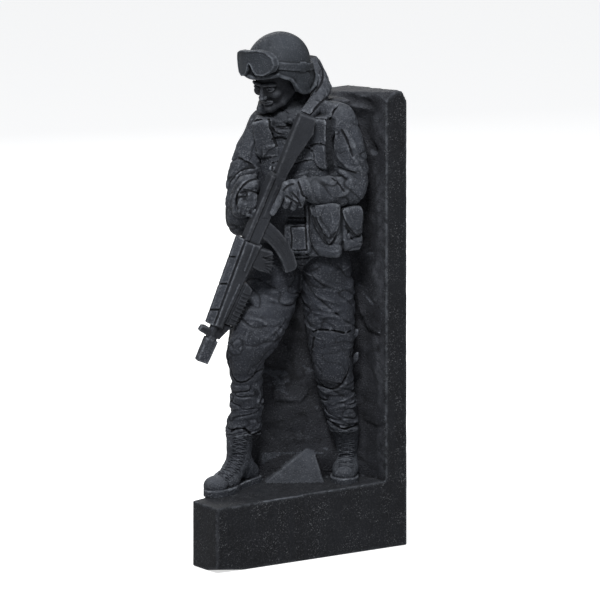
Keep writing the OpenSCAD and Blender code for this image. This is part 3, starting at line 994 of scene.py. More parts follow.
def pillar_distance(x, y, z, side, back, up, chips):
    """The pillar and the rock beside it, with one sawn strip along the front."""
    face = (rock_front(side, up) - back) * 0.8
    strip_front = np.where(x > END - STRIP_WIDTH, FRONT - y, face)
    left = np.interp(up, ROCK_UP, ROCK_LEFT).astype(np.float32) - side + hewn_rock(back, up, 9.0, 31)
    behind = y - BACK + hewn_rock(x, z, 3.0, 41) * np.clip((330 - x) / 120, 0, 1)
    outer = x - END + 0 * z
    crown = crown_distance(x, y, z)
    pillar = np.maximum(np.maximum(strip_front, left), np.maximum(behind, outer))
    pillar = np.maximum(pillar, FRONT - y)
    pillar = np.maximum(pillar, crown)
    for a, b in ((strip_front, outer), (strip_front, crown), (outer, crown), (outer, behind)):
        pillar = np.maximum(pillar, (a + b + 2 + 0.7 * chips) * DIAGONAL)
    return np.maximum(pillar, PLINTH - 30 - z)


def wedge_front(up):
    """Where the sloping front of the wedge between the boots lies."""
    return -62 + 0.62 * up


def wedge_distance(side, back, up):
    """The low wedge of rock left between the boots."""
    ends = np.maximum((up * 137 - (side + 142) * 100) / 170, ((side - 95) * 100 + up * 35) / 106)
    wedge = np.maximum(np.maximum((wedge_front(up) - back) * 0.85, ends), back - 90)
    return np.maximum(wedge + hewn_rock(side, up, 3.0, 51), -20 - up)


def block_distance(clay):
    """The whole block over the clay's grid."""
    _, (x, y, z) = clay.window(clay.low, clay.low + clay.counts * clay.step, 50)
    side, back, up = clay.coordinates(x, y, z)
    up = up + 0 * x
    chips = hewn_facets(x + y, z - y, 26.0, 5) * 3.2 + hewn_facets(x - y, z, 9.0, 6) * 1.6
    pillar = pillar_distance(x, y, z, side, back, up, chips)
    pillar = joined(pillar, wedge_distance(side, back, up), 4.0)
    return joined(plinth_distance(x, y, z, chips), pillar, 3.0)


block = Clay([-445, -216, -11], [445, 216, 1798], 6.9, BLOCK)
block.field[:] = block_distance(block)
print("the block's grid has", block.field.size, "points")

# %% [markdown]
# The rock is hollowed where large flakes came off, and three faces slope so that they catch the light.
# The finish then follows the faces: sawn on the plinth's and the pillar's planes, paler on the wedge's
# front and on rock faces that look up, and hewn elsewhere.

# %% Breaks and hollows that the splitting left
crease(block, [(239, 1322), (281, 1261), (323, 1189)], width=46, depth=18, soft=6)
crease(block, [(155, 1475), (216, 1452), (285, 1429)], width=40, depth=22, soft=4)
crease(block, [(201, 1383), (224, 1322), (247, 1261)], width=30, depth=12, soft=6)
panel(block, [(209, 751), (255, 705), (315, 637), (308, 553), (255, 583), (220, 660)], 24, edge=9,
      sloped=True)
panel(block, [(-104, 416), (3, 431), (34, 339), (3, 301), (-96, 309)], 12, edge=12, sloped=True)
panel(block, [(239, 294), (308, 294), (331, 229), (300, 210), (247, 233)], 14, edge=9, sloped=True)
crease(block, [(255, 873), (285, 877), (323, 869)], width=16, depth=8, soft=4)
wrinkled(block, (80, 80, 66), 1.6, 91, [-230, -120, 20], [330, 300, 1500], (0, 30, 0))
block_piece = skinned(block, "block", hewn, 198000)


def block_finish(at, out):
    """1 where the block is sawn, 2 on the wedge's front and on rock faces that look up, and 0 elsewhere.
    """
    flat = np.abs(out).max(axis=1) > 0.85
    sides = (np.abs(np.abs(at[:, 0]) - END) < 13) | (np.abs(at[:, 1] - FRONT) < 13)
    top = (np.abs(at[:, 2] - PLINTH) < 14) & (out[:, 2] > 0.9)
    side, back, up = block.in_figure(at).T
    on_wedge = (np.abs(wedge_front(up) - back) < 9) & (up > 3) & (up < 108) & (np.abs(side + 24) < 122)
    paler_faces = on_wedge | ((out[:, 2] > 0.4) & (at[:, 2] < 1700))
    return np.where(flat & (sides | top), 1, np.where(paler_faces, 2, 0))


refinished(block_piece, [sawn, carved], block_finish)
del block


# %% [markdown]
# ## Legs and boots
# Each leg is one limb in thick trousers. Folds run round it where the cloth bunches, at the knee pad's
# straps and over the boot, so the limb's own section carries them and the back of the leg gets them too.
# The boots are built from the ground up: a sole with a welt, a toe cap, an instep and a laced shaft.

# %% A boot
BOOT_FINISH = 222  # the boots are paler than the trousers up to here, over the plinth


def boot(clay, heel, turn, length, shaft_top, lean):
    """A boot with its heel at a point on the ground and its toe towards the turned front."""
    m = turned(rz=turn)

    def at(x, y, z):
        return m @ np.array([x, y, z], float) + np.array(heel, float)

    def sole(grow):
        shape = [(-34, 8), (-24, 34), (0, 40), (24, 34), (36, 8), (35, -50), (39, -0.42 * length),
                 (52, -0.6 * length), (50, -0.78 * length), (33, -0.93 * length), (2, -length),
                 (-28, -0.94 * length), (-48, -0.8 * length), (-50, -0.62 * length),
                 (-37, -0.42 * length),
                 (-35, -50)]
        shape = [(x * (1 + grow / 48), y + math.copysign(grow, y + length / 2)) for x, y in shape]
        return [tuple(at(x, y, 0)[:2]) for x, y in smoothed(shape, 3, closed=True)]

    toe = -(length - 52)
    clay.add([ball(at(0, toe, 40), [46, 48, 37], (0, 0, turn)),
              ball(at(2, -0.62 * length, 44), [49, 52, 40], (0, 0, turn))], 14)
    clay.add(limb([at(0, -0.54 * length, 44), at(0, -0.4 * length, 74), at(0, -82, 116),
                   at(0, -78 + lean, shaft_top)],
                  [[46, 36], [45, 42], [44, 52], [52, 56]], side=m @ [1, 0, 0], steps=4,
                  folds=gathers(9, 2.4, 2.0, 0.5)), 20)
    clay.add(ball(at(0, -6, 44), [36, 40, 46], (0, 0, turn)), 16)
    clay.add(ball(at(0, -46, 70), [40, 44, 60], (0, 0, turn)), 20)
    clay.add(plate(sole(4), 2, 0, 28, 3), 1.5)
    clay.cut(path([tuple(p) + (21,) for p in sole(6)] + [tuple(sole(6)[0]) + (21,)], 2.2), 1)
    for y, z, reach in ((-0.70 * length, 60, 47), (-0.66 * length, 78, 36)):
        clay.cut(path([at(-reach, y + 14, z - 28), at(0, y - 6, z + 22), at(reach, y + 14, z - 28)], 3.2),
                 3)


# %% [markdown]
# The leg in front bends at a padded knee. The trouser's limb is cut off flat over the boot, the pad is a
# ball that swells from it, and the folds are drawn where the pad's straps pull the cloth together.

# %% The stepping leg
step_leg = Clay([-368, -300, -6], [14, 196, 970], 2.8)
step_joints = [[-84, 22, 850], [-127, -20, 716], [-162, -115, 625], [-203, -160, 535], [-203, -130, 410],
               [-205, -100, 305], [-207, -88, 205]]
step_halves = [[95, 104], [110, 98], [101, 90], [73, 74], [59, 66], [62, 66], [58, 60]]
step_trouser = limb(step_joints, step_halves, folds=gathers(15, 5.0, 1.3, 0.8))
step_leg.add([length.within(slab([0, 0, 595], [0.1, 0, 1], 400)) for length in step_trouser], 0)
step_leg.add(ball([-212, -180, 536], [70, 66, 92], (8, 0, -12)), 3)
boot(step_leg, [-190, -33, 0], -32.7, 296, 240, 6)
wrinkled(step_leg, (95, 95, 42), 6.5, 31, [-400, -400, 560], [40, 300, 880], (0, 28, 0))
wrinkled(step_leg, (80, 80, 24), 8, 34, [-400, -400, 195], [40, 300, 440], (0, -8, 0))
for line in ([(-203, 621), (-149, 610), (-111, 591), (-62, 614)], [(-165, 538), (-119, 553), (-62, 610)],
             [(-142, 511), (-104, 534), (-54, 599)], [(-138, 705), (-73, 679), (-27, 686)],
             [(-195, 576), (-214, 519), (-233, 492)], [(-168, 366), (-153, 328), (-168, 279)]):
    ridge(step_leg, line, width=15, height=5, soft=7)
crease(step_leg, [(-275, 526), (-275, 461), (-260, 412), (-241, 381), (-214, 378), (-187, 393),
                  (-165, 416), (-142, 427)],
       width=7, depth=6, taper=False)
crease(step_leg, [(-260, 191), (-233, 202), (-207, 195), (-180, 176), (-146, 191)], width=8, depth=8,
       taper=False)
wrinkled(step_leg, (55, 55, 55), 3.5, 37, [-400, -400, 430], [40, 300, 640], (0, 20, 0))
step_leg.roughen(26, 0.9, 3)
step_leg.roughen(9, 0.7, 4)
step_piece = skinned(step_leg, "stepping_leg", shaded, 115000)
refinished(step_piece, [carved], lambda at, out: at[:, 2] < PLINTH + BOOT_FINISH)

# %% [markdown]
# The other leg carries the weight, so it is straighter and its cloth hangs in more and smaller folds. Two
# short stubs at its outer side are the ends of the knee pad's straps.

# %% The standing leg
stand_leg = Clay([-6, -160, -6], [222, 200, 975], 2.8)
stand_joints = [[98, 6, 850], [110, 12, 707], [117, -5, 590], [122, -10, 496], [138, 4, 364],
                [155, 18, 287], [168, 30, 195]]
stand_halves = [[92, 104], [97, 96], [90, 86], [78, 76], [64, 70], [61, 66], [53, 58]]
stand_trouser = limb(stand_joints, stand_halves, folds=gathers(21, 5.5, 4.1, 0.85))
stand_leg.add([length.within(slab([0, 0, 590], [-0.06, 0, 1], 400)) for length in stand_trouser], 0)
stand_leg.add(ball([120, -36, 490], [73, 64, 110], (-6, 0, -6)), 3)
stand_leg.add(path([[190, -14, 560], [216, -6, 585]], [14, 11]), 6)
stand_leg.add(path([[200, 0, 470], [220, 0, 492]], [14, 12]), 6)
boot(stand_leg, [182, 150, 0], -4, 234, 215, -34)
wrinkled(stand_leg, (110, 110, 38), 7.5, 41, [-20, -300, 590], [260, 300, 880], (0, 40, 0))
wrinkled(stand_leg, (75, 75, 22), 8.5, 44, [-20, -300, 195], [260, 300, 425], (0, 14, 0))
for line in ([(26, 812), (79, 762), (155, 732)], [(14, 755), (72, 705), (148, 675)],
             [(49, 686), (102, 648), (178, 656)], [(41, 606), (102, 629), (186, 614)],
             [(87, 339), (148, 355), (213, 400)],
             [(106, 275), (155, 286), (220, 324)]):
    ridge(stand_leg, line, width=15, height=5, soft=7)
crease(stand_leg, [(49, 568), (79, 576), (133, 572), (171, 564), (194, 572)], width=7, depth=7,
       taper=False)
crease(stand_leg, [(53, 545), (45, 499), (49, 450), (64, 400), (91, 362), (121, 351), (148, 362),
                   (171, 389),
              (186, 431), (194, 492)], width=6, depth=5, taper=False)
crease(stand_leg, [(110, 233), (140, 210), (167, 199), (197, 206), (224, 218)], width=8, depth=8,
       taper=False)
wrinkled(stand_leg, (55, 55, 50), 3.0, 47, [-20, -300, 380], [260, 300, 610], (0, 20, 0))
stand_leg.roughen(26, 0.9, 5)
stand_leg.roughen(9, 0.7, 6)
stand_piece = skinned(stand_leg, "standing_leg", shaded, 100000)
refinished(stand_piece, [carved], lambda at, out: at[:, 2] < PLINTH + BOOT_FINISH)


# %% [markdown]
# ## Body, vest and pouches
# The body is a jacket under a load vest, with pouches on the vest's front. It is built from the inside
# outwards, as one would dress, and a layer is joined to the last with a small radius where its edge
# should stand up, as cloth does over cloth, and with a large one where it should melt into it.

# %% The jacket
trunk = Clay([-225, -200, 640], [262, 196, 1640], 2.9)
torso_joints = [[6, 52, 930], [6, 50, 980], [2, 46, 1100], [0, 42, 1250], [2, 35, 1380],
                [2, 32, 1450]]
torso_halves = [[168, 122], [170, 128], [158, 120], [163, 120], [140, 98], [85, 72]]
CHEST = (math.cos(math.radians(20)), -math.sin(math.radians(20)), 0)
jacket = limb(torso_joints, torso_halves, side=CHEST, folds=gathers(11, 3.0, 0.7, 0.6))
trunk.add(jacket, 0)
trunk.add(ball([2, 84, 800], [80, 96, 82]), 10)
trunk.add(ball([-136, 34, 1398], [56, 60, 54]), 24)
trunk.add(ball([146, -40, 1424], [64, 64, 60]), 24)
trunk.add(path([[-20, 30, 1440], [140, -20, 1440]], [60, 44]), 20)

# %% [markdown]
# The vest is a second, wider limb round the jacket, with soft boxes for the padding on the shoulders and
# the chest. Joined with a small radius, its hem and its armholes keep an edge.

# %% The vest
vest_joints = [[6, 44, 1000], [2, 36, 1100], [0, 32, 1250], [2, 25, 1380]]
vest_halves = [[180, 142], [168, 136], [173, 138], [120, 94]]
trunk.add(limb(vest_joints, vest_halves, side=CHEST), 5)
trunk.add(box([-128, -28, 1360], [76, 70, 150], 16, (12, 0, -32)), 20)
trunk.add(box([84, -72, 1344], [72, 66, 200], 16, (4, 0, -14)), 20)
trunk.add(box([110, -34, 1462], [70, 96, 46], 16, (-24, 14, -14)), 16)

# %% [markdown]
# The scarf fills the gap between the chin and the chest. The collar is one limb bent round the neck and
# open at the front, and two panels paint shade on the scarf and the neck in its shadow.

# %% Scarf and raised collar
trunk.add(path([[-34, 26, 1420], [-64, 14, 1560]], [52, 46]), 8)
trunk.add(limb([[-20, 10, 1350], [-34, -2, 1390], [-42, 8, 1410]], [[94, 90], [84, 84], [70, 70]],
               folds=gathers(4, 4.0, 2.2, 0.9)), 8)
collar = [[-140, -20, 1462], [-112, 62, 1492], [-30, 108, 1552], [28, 96, 1622], [60, 56, 1590],
          [80, 14, 1536], [60, -40, 1492], [22, -84, 1456], [-30, -96, 1440]]
collar_halves = [[20, 26], [26, 34], [28, 40], [27, 36], [28, 38], [29, 36], [27, 32], [24, 28], [18, 22]]
trunk.add(limb(collar, collar_halves, side=(0, 0, 1), steps=4), 6)

wrinkled(trunk, (60, 60, 32), 7, 61, [-100, -260, 1350], [30, 60, 1560])
# Two panels of painted shade darken the scarf and the neck under the chin.
panel(trunk, [(-126, 1406), (-35, 1429), (11, 1437), (-35, 1338), (-66, 1292), (-96, 1307), (-119, 1368)],
      0, edge=14,
      painted_shade=0.34)
panel(trunk, [(-58, 1498), (18, 1482), (7, 1429), (-43, 1410), (-104, 1402), (-119, 1437), (-81, 1460)],
      0, edge=14, painted_shade=0.6)
wrinkled(trunk, (60, 60, 120), 2.5, 65, [-40, -260, 1440], [120, 200, 1700], (0, -20, 0))

# %% [markdown]
# A pouch is a box with a second, shallower one on its front for the flap. Panels then lift the flap's
# own outline, and creases and small ridges give the seams and the cloth that sags between them.

# %% Pouches
trunk.add(box([92, -105, 1012], [132, 62, 212], 18, (4, 0, -14)), 5)
trunk.add(box([94, -125, 1034], [104, 34, 136], 12, (4, 0, -14)), 6)
trunk.add(box([182, -62, 1010], [94, 84, 172], 18, (2, 0, 34)), 5)
trunk.add(box([-8, -116, 978], [104, 44, 112], 16, (0, 0, -20)), 10)
panel(trunk, [(45, 1056), (140, 1056), (152, 1025), (148, 972), (110, 903), (64, 957), (45, 1010)], 13,
      edge=2, smooth=True)
panel(trunk, [(56, 1052), (144, 1052), (144, 980), (110, 926), (68, 987)], 4, edge=3)
panel(trunk, [(167, 1037), (232, 1044), (239, 987), (220, 934), (194, 949), (171, 995)], 13,
      edge=2, smooth=True)
for line in ([(49, 1010), (68, 957), (110, 900), (140, 934)],
             [(60, 1002), (83, 949), (110, 919), (136, 949)],
             [(171, 991), (194, 953), (220, 930), (235, 941)], [(159, 1048), (163, 957), (163, 865)],
             [(34, 1048), (37, 949), (45, 896), (72, 858)], [(174, 972), (201, 919), (232, 911)]):
    crease(trunk, line, width=5, depth=5)
for line in ([(72, 1033), (87, 987), (102, 949)], [(41, 934), (56, 896), (87, 873)],
             [(117, 1025), (125, 995), (117, 957)], [(182, 1025), (201, 987), (220, 957)],
             [(72, 888), (117, 873), (155, 880)]):
    ridge(trunk, line, width=10, height=2.5, soft=5)

# %% [markdown]
# The rest of the vest is drawn, not built: panels of cloth laid over cloth, a crease for each seam, and
# ridges where a strap pulls. The deep soft crease beside the arm parts the sleeve from the vest.

# %% Seams, straps and webbing of the vest
ARMHOLE = [(110, 1380), (129, 1380), (125, 1330), (125, 1277), (133, 1223), (136, 1166), (102, 1170),
           (98, 1223),
           (98, 1277), (102, 1330)]
panel(trunk, [(37, 1399), (102, 1463), (159, 1441), (129, 1414), (110, 1357), (102, 1281), (49, 1277),
              (3, 1261)],
      4, edge=3)
panel(trunk, [(-35, 1269), (14, 1273), (53, 1273), (53, 1223), (-27, 1208)], 3, edge=3)
panel(trunk, [(-58, 1201), (49, 1227), (64, 1201), (87, 1181), (3, 1170), (-58, 1162)], -3, edge=3)
panel(trunk, [(56, 1277), (91, 1277), (102, 1185), (72, 1193), (53, 1231)], 4, edge=3)
panel(trunk, [(-153, 1372), (-119, 1376), (-104, 1326), (-88, 1277), (-119, 1261), (-142, 1231),
              (-165, 1223), (-184, 1300),
              (-191, 1361)], 4, edge=3)
panel(trunk, [(-142, 1277), (-85, 1284), (-85, 1239), (-142, 1231)], 4, edge=3)
trunk.add([ball([-104, -128, 1256], [13, 9, 12])], 2)
for line in ([(-195, 1364), (-172, 1372), (-149, 1376)], [(53, 1380), (79, 1380), (106, 1376)],
             [(-119, 1376), (-107, 1330), (-92, 1292), (-85, 1277)],
             [(-187, 1361), (-184, 1315), (-168, 1269), (-157, 1216)],
             [(102, 1463), (68, 1429), (37, 1395)], [(110, 1372), (106, 1300), (114, 1231), (121, 1174)],
             [(14, 1273), (37, 1265), (53, 1246), (53, 1223)], [(41, 1277), (64, 1284), (91, 1281)],
             [(-35, 1204), (7, 1216), (49, 1227)], [(49, 1227), (64, 1201), (87, 1181)],
             [(-138, 1242), (-104, 1242)], [(-104, 1212), (-73, 1220)], [(-104, 1212), (-107, 1170)],
             [(-43, 1002), (18, 1002)], [(-35, 968), (18, 972)], [(-35, 964), (-31, 919), (-35, 880)],
             [(18, 1048), (22, 957), (26, 880)], [(-50, 880), (-12, 877), (26, 880)],
             [(-50, 865), (-12, 861), (34, 865)], [(-43, 850), (-5, 846), (34, 850)],
             [(-5, 823), (26, 820), (49, 831), (87, 846), (163, 850), (201, 835), (216, 820)]):
    crease(trunk, line, width=5, depth=5.5, taper=False)
for line in ([(-126, 1368), (-88, 1334), (-58, 1322)], [(-111, 1376), (-66, 1368), (-35, 1376)],
             [(-104, 1311), (-73, 1319), (-46, 1311)], [(-96, 1284), (-66, 1292), (-50, 1281)],
             [(64, 1185), (41, 1178), (3, 1170)]):
    ridge(trunk, line, width=11, height=4, soft=5)
for line in ([(-119, 1361), (-88, 1326), (-58, 1319)], [(-107, 1303), (-77, 1307), (-46, 1300)],
             [(-88, 1349), (-58, 1349), (-39, 1361)]):
    crease(trunk, line, width=5, depth=5)
panel(trunk, [(68, 1551), (94, 1543), (125, 1502), (106, 1463), (72, 1433), (37, 1395), (3, 1410),
              (37, 1460),
              (56, 1498)], 7, edge=3)
for line in ([(72, 1597), (87, 1559), (83, 1521), (60, 1482)], [(102, 1463), (72, 1433), (37, 1395)]):
    crease(trunk, line, width=5, depth=4)
crease(trunk, [(117, 1368), (114, 1322), (114, 1277), (117, 1223), (125, 1178)], width=34, depth=17,
       soft=12, taper=False)
crease(trunk, [(159, 1437), (133, 1414), (114, 1376)], width=7, depth=8, taper=False)
# Painted shade in the deep crease between the vest and the sleeve.
panel(trunk, ARMHOLE, 0, edge=14, painted_shade=0.65)
crease(trunk, [(-187, 1361), (-180, 1311), (-165, 1261), (-149, 1212)], width=12, depth=12, taper=False)
crease(trunk, [(-119, 1380), (-107, 1330), (-88, 1277)], width=9, depth=9, taper=False)
crease(trunk, [(-195, 1364), (-172, 1372), (-146, 1376)], width=8, depth=8, taper=False)
wrinkled(trunk, (70, 70, 50), 5, 67, [40, -260, 880], [260, 60, 1130])
wrinkled(trunk, (90, 90, 60), 2.5, 69, [-200, -260, 1120], [160, 60, 1340], (0, 25, 0))
trunk.roughen(26, 0.9, 7)
trunk.roughen(9, 0.7, 8)
trunk_piece = skinned(trunk, "body", carved, 150000)


# %% [markdown]
# ## Arms and gloved hands
# The sleeves are wide and soft, so their folds are deep at the elbow and fan out from it. A glove is a
# rounded palm with four fingers, each a chain of two rods that bends once, with a knuckle at its root.

# %% A gloved hand
def hand(clay, wrist, knuckles, tips, palm, across):
    """A glove from the wrist over the knuckles, with each finger bent once towards its tip."""
    wrist, knuckles, across = (np.array(v, float) for v in (wrist, knuckles, across))
    clay.add([ball((wrist + knuckles) / 2, [palm, palm * 0.72, palm * 1.1])], 10)
    clay.add(path([wrist, knuckles], [palm * 0.8, palm * 0.72]), 12)
    for k, tip in enumerate(tips):
        tip = np.array(tip, float)
        root = knuckles + across * (k - 1.5) * 0.62
        bend = root + (tip - root) * 0.52 + np.array([0, -9.0, 0])
        clay.add(path([root, bend, tip], [14, 13, 11]), 2.5)
        clay.add(ball(root + np.array([0, -6.0, 0]), 13), 5)


# %% [markdown]
# The right arm hangs and bends sharply at the elbow to bring the hand up to the grip. The deep folds lie
# inside the bend, so they are drawn as long ridges with a crease beside each.

# %% The right arm
right_arm = Clay([-300, -212, 940], [-70, 118, 1470], 2.7)
right_joints = [[-136, 46, 1385], [-182, 38, 1285], [-216, 20, 1160], [-222, -12, 1028],
                [-212, -72, 1098],
                [-198, -122, 1180]]
right_halves = [[56, 60], [60, 60], [62, 60], [61, 62], [58, 56], [44, 44]]
right_arm.add(limb(right_joints, right_halves, folds=gathers(9, 3.4, 3.1, 0.7)), 0)
right_arm.add(ball([-140, 40, 1392], [54, 58, 50]), 16)
hand(right_arm, [-190, -140, 1186], [-198, -160, 1156],
     [[-231 + 17 * k, -166, 1102 - 7 * k] for k in range(4)], 35, [22, 0, 0])
wrinkled(right_arm, (70, 70, 36), 8, 71, [-320, -300, 1080], [-140, 200, 1340], (0, -32, 0))
wrinkled(right_arm, (80, 80, 60), 5, 74, [-320, -300, 900], [-60, 200, 1110], (0, -20, 0))
for line in ([(-233, 1227), (-203, 1220), (-168, 1193), (-142, 1178)],
             [(-264, 1124), (-241, 1162), (-195, 1185), (-142, 1170)],
             [(-267, 1071), (-245, 1124), (-203, 1159), (-157, 1159)],
             [(-248, 1018), (-252, 1060), (-233, 1109), (-207, 1140)]):
    ridge(right_arm, line, width=18, height=6, soft=8)
for line in ([(-233, 1231), (-210, 1220), (-180, 1201)],
             [(-264, 1140), (-245, 1166), (-210, 1189), (-172, 1193)],
             [(-237, 1037), (-241, 1075), (-226, 1113), (-195, 1143), (-165, 1151)]):
    crease(right_arm, line, width=6, depth=6)
for line in ([(-214, 1109), (-187, 1105), (-157, 1094)], [(-226, 1098), (-207, 1101), (-203, 1086)],
             [(-229, 1082), (-210, 1082)]):
    crease(right_arm, line, width=4.5, depth=3.5, taper=False)
right_arm.roughen(24, 0.8, 9)
right_arm.roughen(9, 0.7, 10)
right_piece = skinned(right_arm, "right_arm", carved, 85000)

# %% [markdown]
# The left arm crosses the chest, and its hand closes round the rifle from the front. Its fingers curl more
# than the right hand's and lie apart, so each has its own three points.

# %% The left arm
left_arm = Clay([-128, -232, 1070], [268, 70, 1512], 2.7)
left_joints = [[150, -36, 1432], [178, -38, 1330], [194, -32, 1225], [188, -52, 1152], [104, -112, 1164],
               [14, -156, 1182]]
left_halves = [[58, 58], [60, 65], [58, 64], [56, 58], [50, 57], [42, 43]]
left_arm.add(limb(left_joints, left_halves, side=(0, -1, 0), folds=gathers(10, 3.6, 5.2, 0.7)), 0)
left_arm.add(ball([150, -38, 1420], [60, 60, 56]), 14)
left_arm.add([ball([-30, -178, 1184], [40, 32, 40]), ball([-2, -166, 1184], [36, 32, 36])], 12)
fingers = [[[-52, -192, 1204], [-76, -196, 1150], [-104, -190, 1096]],
           [[-50, -196, 1190], [-46, -206, 1150], [-54, -192, 1124]],
           [[-24, -194, 1190], [-18, -204, 1146], [-26, -190, 1116]],
           [[0, -188, 1188], [6, -198, 1152], [0, -184, 1124]]]
for chain in fingers:
    left_arm.add(path(chain, [15, 14.5, 12]), 3)
    left_arm.add(ball(chain[0], 15), 6)
wrinkled(left_arm, (150, 150, 44), 4.5, 87, [120, -300, 1180], [300, 200, 1460], (0, 34, 0))
wrinkled(left_arm, (46, 90, 110), 4.5, 85, [20, -300, 1080], [300, 200, 1230], (0, -24, 0))
for line in ([(167, 1345), (194, 1300), (220, 1239)], [(186, 1261), (209, 1223), (239, 1170)],
             [(144, 1239), (178, 1201), (224, 1185)], [(148, 1185), (186, 1155), (201, 1117)],
             [(117, 1075), (155, 1086), (201, 1117)], [(18, 1162), (37, 1117), (49, 1079)]):
    ridge(left_arm, line, width=18, height=6, soft=8)
for line in ([(159, 1338), (182, 1292), (201, 1239)], [(144, 1197), (174, 1185), (213, 1174)],
             [(121, 1155), (148, 1132), (167, 1105)]):
    crease(left_arm, line, width=5.5, depth=6)
crease(left_arm, [(-12, 1159), (-1, 1124), (11, 1090), (26, 1075)], width=6, depth=6, taper=False)
for line in ([(-54, 1086), (-35, 1075), (-8, 1056)], [(-62, 1109), (-46, 1124), (-24, 1132)],
             [(-31, 1098), (-12, 1079), (3, 1048)]):
    crease(left_arm, line, width=4.5, depth=3.5)
crease(left_arm, [(121, 1376), (117, 1330), (117, 1277), (121, 1223), (125, 1181)], width=34, depth=17,
       soft=12, taper=False)
# Painted shade in the deep crease between the vest and the sleeve.
panel(left_arm, ARMHOLE, 0, edge=14, painted_shade=0.65)
left_arm.roughen(24, 0.8, 12)
left_arm.roughen(9, 0.7, 13)
left_piece = skinned(left_arm, "left_arm", carved, 95000)


# %% [markdown]
# ## The rifle
# The rifle is a plain one of no maker, carved rather flat. It has a frame of its own, with u along the
# barrel from the butt, v to the underside and w to the side that shows, so its plates are drawn in the
# rifle's own side view. Its edges are only a little rounded, because the carver kept it crisp.

# %% Plates of the rifle
ROLL = 17
RAIL_START, DEVICE_START = 528, 936
butt, muzzle = np.array([26.0, -138, 1466]), np.array([-374.0, -200, 514])
u = (muzzle - butt) / np.linalg.norm(muzzle - butt)
shown = np.array([0, -1.0, 0])
w0 = shown - u * (u @ shown)
w0 /= np.linalg.norm(w0)
v0 = np.cross(w0, u)
roll = math.radians(ROLL)
under = v0 * math.cos(roll) - w0 * math.sin(roll)
outer_side = w0 * math.cos(roll) + v0 * math.sin(roll)
axes = np.stack([u, under, outer_side], 1)
gun = Clay([-10, -82, -44], [1040, 200, 44], 2.3, (axes, butt))


def flat_part(outline, half, round_edge, soft=0.0):
    """A part of the rifle from its outline in the side view, as thick to one side as to the other."""
    gun.add(plate(outline, 2, -half, half, round_edge), soft)


flat_part([(0, -33), (120, -31), (250, -27), (262, -33), (262, 18), (235, 19), (165, 27), (58, 50),
           (0, 34)], 21, 7)
flat_part([(252, -38), (262, -42), (540, -40), (540, 20), (440, 22), (300, 15), (252, 17)], 22, 4)
flat_part([(262, -44), (530, -42), (530, -22), (262, -26)], 27, 3)
flat_part([(290, -12), (430, -12), (420, 10), (300, 8)], 25, 2)
spine = np.array(smoothed([(462, 4), (485, 66), (513, 117), (547, 158), (586, 190)], 3))
onward = np.gradient(spine, axis=0)
onward /= np.linalg.norm(onward, axis=1, keepdims=True)
beside = np.stack([onward[:, 1], -onward[:, 0]], axis=1) * np.linspace(33, 25, len(spine))[:, None]
flat_part(list(spine - beside) + list((spine + beside)[::-1]), 16, 3)
for share in (-0.35, 0.35):
    gun.cut(path([(x, y, 17.5) for x, y in (spine + share * beside)[1:-1]], 3.0), 1.5)
flat_part([(530, -68), (885, -46), (885, 18), (690, 26), (530, 34)], 22, 4)
flat_part([(534, -36), (881, -18), (881, 12), (690, 20), (534, 28)], 31, 5)
flat_part([(544, 20), (620, 26), (626, 60), (622, 98), (598, 106), (540, 84)], 25, 4)
gun.cut(plate([(566, 58), (574, 50), (580, 100), (568, 100)], 2, 20, 30, 1), 1)
flat_part([(688, 10), (862, 4), (862, 58), (704, 68), (688, 40)], 24, 4)
gun.cut(path([(690, 34, 26), (862, 28, 26)], 4), 1)
for w in (23, -23):
    gun.cut(path([(536, -40, w), (880, -22, w)], 3.2), 1)
gun.add(path([(540, 0, 30), (640, 4, 31)], 5), 2)
gun.add(path([(700, 6, 30), (872, 2, 29)], 4.5), 2)
gun.add(rod((880, -10, 0), (945, -4, 0), 18, 16), 2)
flat_part([(866, 6), (930, 4), (930, 26), (866, 52)], 14, 3, 2)
flat_part([(905, -6), (896, -44), (899, -62), (922, -66), (929, -34), (938, -6)], 13, 3, 2)
gun.add(rod((940, -3, 0), (1006, -3, 0), 23, 23), 1)
flat_part([(938, -27), (1034, -26), (1034, 20), (938, 23)], 21, 5, 1)
gun.cut(rod((1022, -3, 0), (1040, -3, 0), 9, 9), 1)
for line in ([(255, -44), (255, 24)], [(268, -24), (536, -22)], [(440, -20), (452, 22)]):
    gun.cut(path([(x, y, 24) for x, y in line], 3.2), 1)
gun.cut(path([(4, -22, 22), (60, -24, 23)], 2.5), 1)
gun.cut(box([708, -62.7, 36.7], [384, 60, 60], 1, (45, 0, 3.5)), 1)
for line in ([(-290, 854), (-248, 854)], [(-317, 751), (-279, 751)], [(-351, 652), (-309, 652)]):
    crease(gun, line, width=5, depth=4, taper=False)
gun.roughen(20, 0.6, 15)
gun.roughen(8, 0.35, 16)
rifle_piece = skinned(gun, "rifle", plain, 72000)


def painted_lit_faces(at, out):
    """The faces of the rail and of the muzzle that look up and to the open side, for painted light."""
    along = ((at - STAND) @ TO_BLOCK - butt) @ u
    upward = out @ TO_BLOCK @ -axes[:, 1]
    return ((along > RAIL_START) & (upward > 0.4)) | ((along > DEVICE_START) & (upward > -0.3))


# These faces take the paler carved finish, a painted highlight where the light falls on them.
refinished(rifle_piece, [carved], painted_lit_faces)


# %% [markdown]
# ## Head and helmet
# The head bows and turns, so it has its own frame too, with the face towards -Y. The face is a plain,
# calm one on even proportions, finished like the rest but nobody's in particular: eyes half way down the
# skull, the foot of the nose half way from brow to chin, and the lips a third of the way below it.

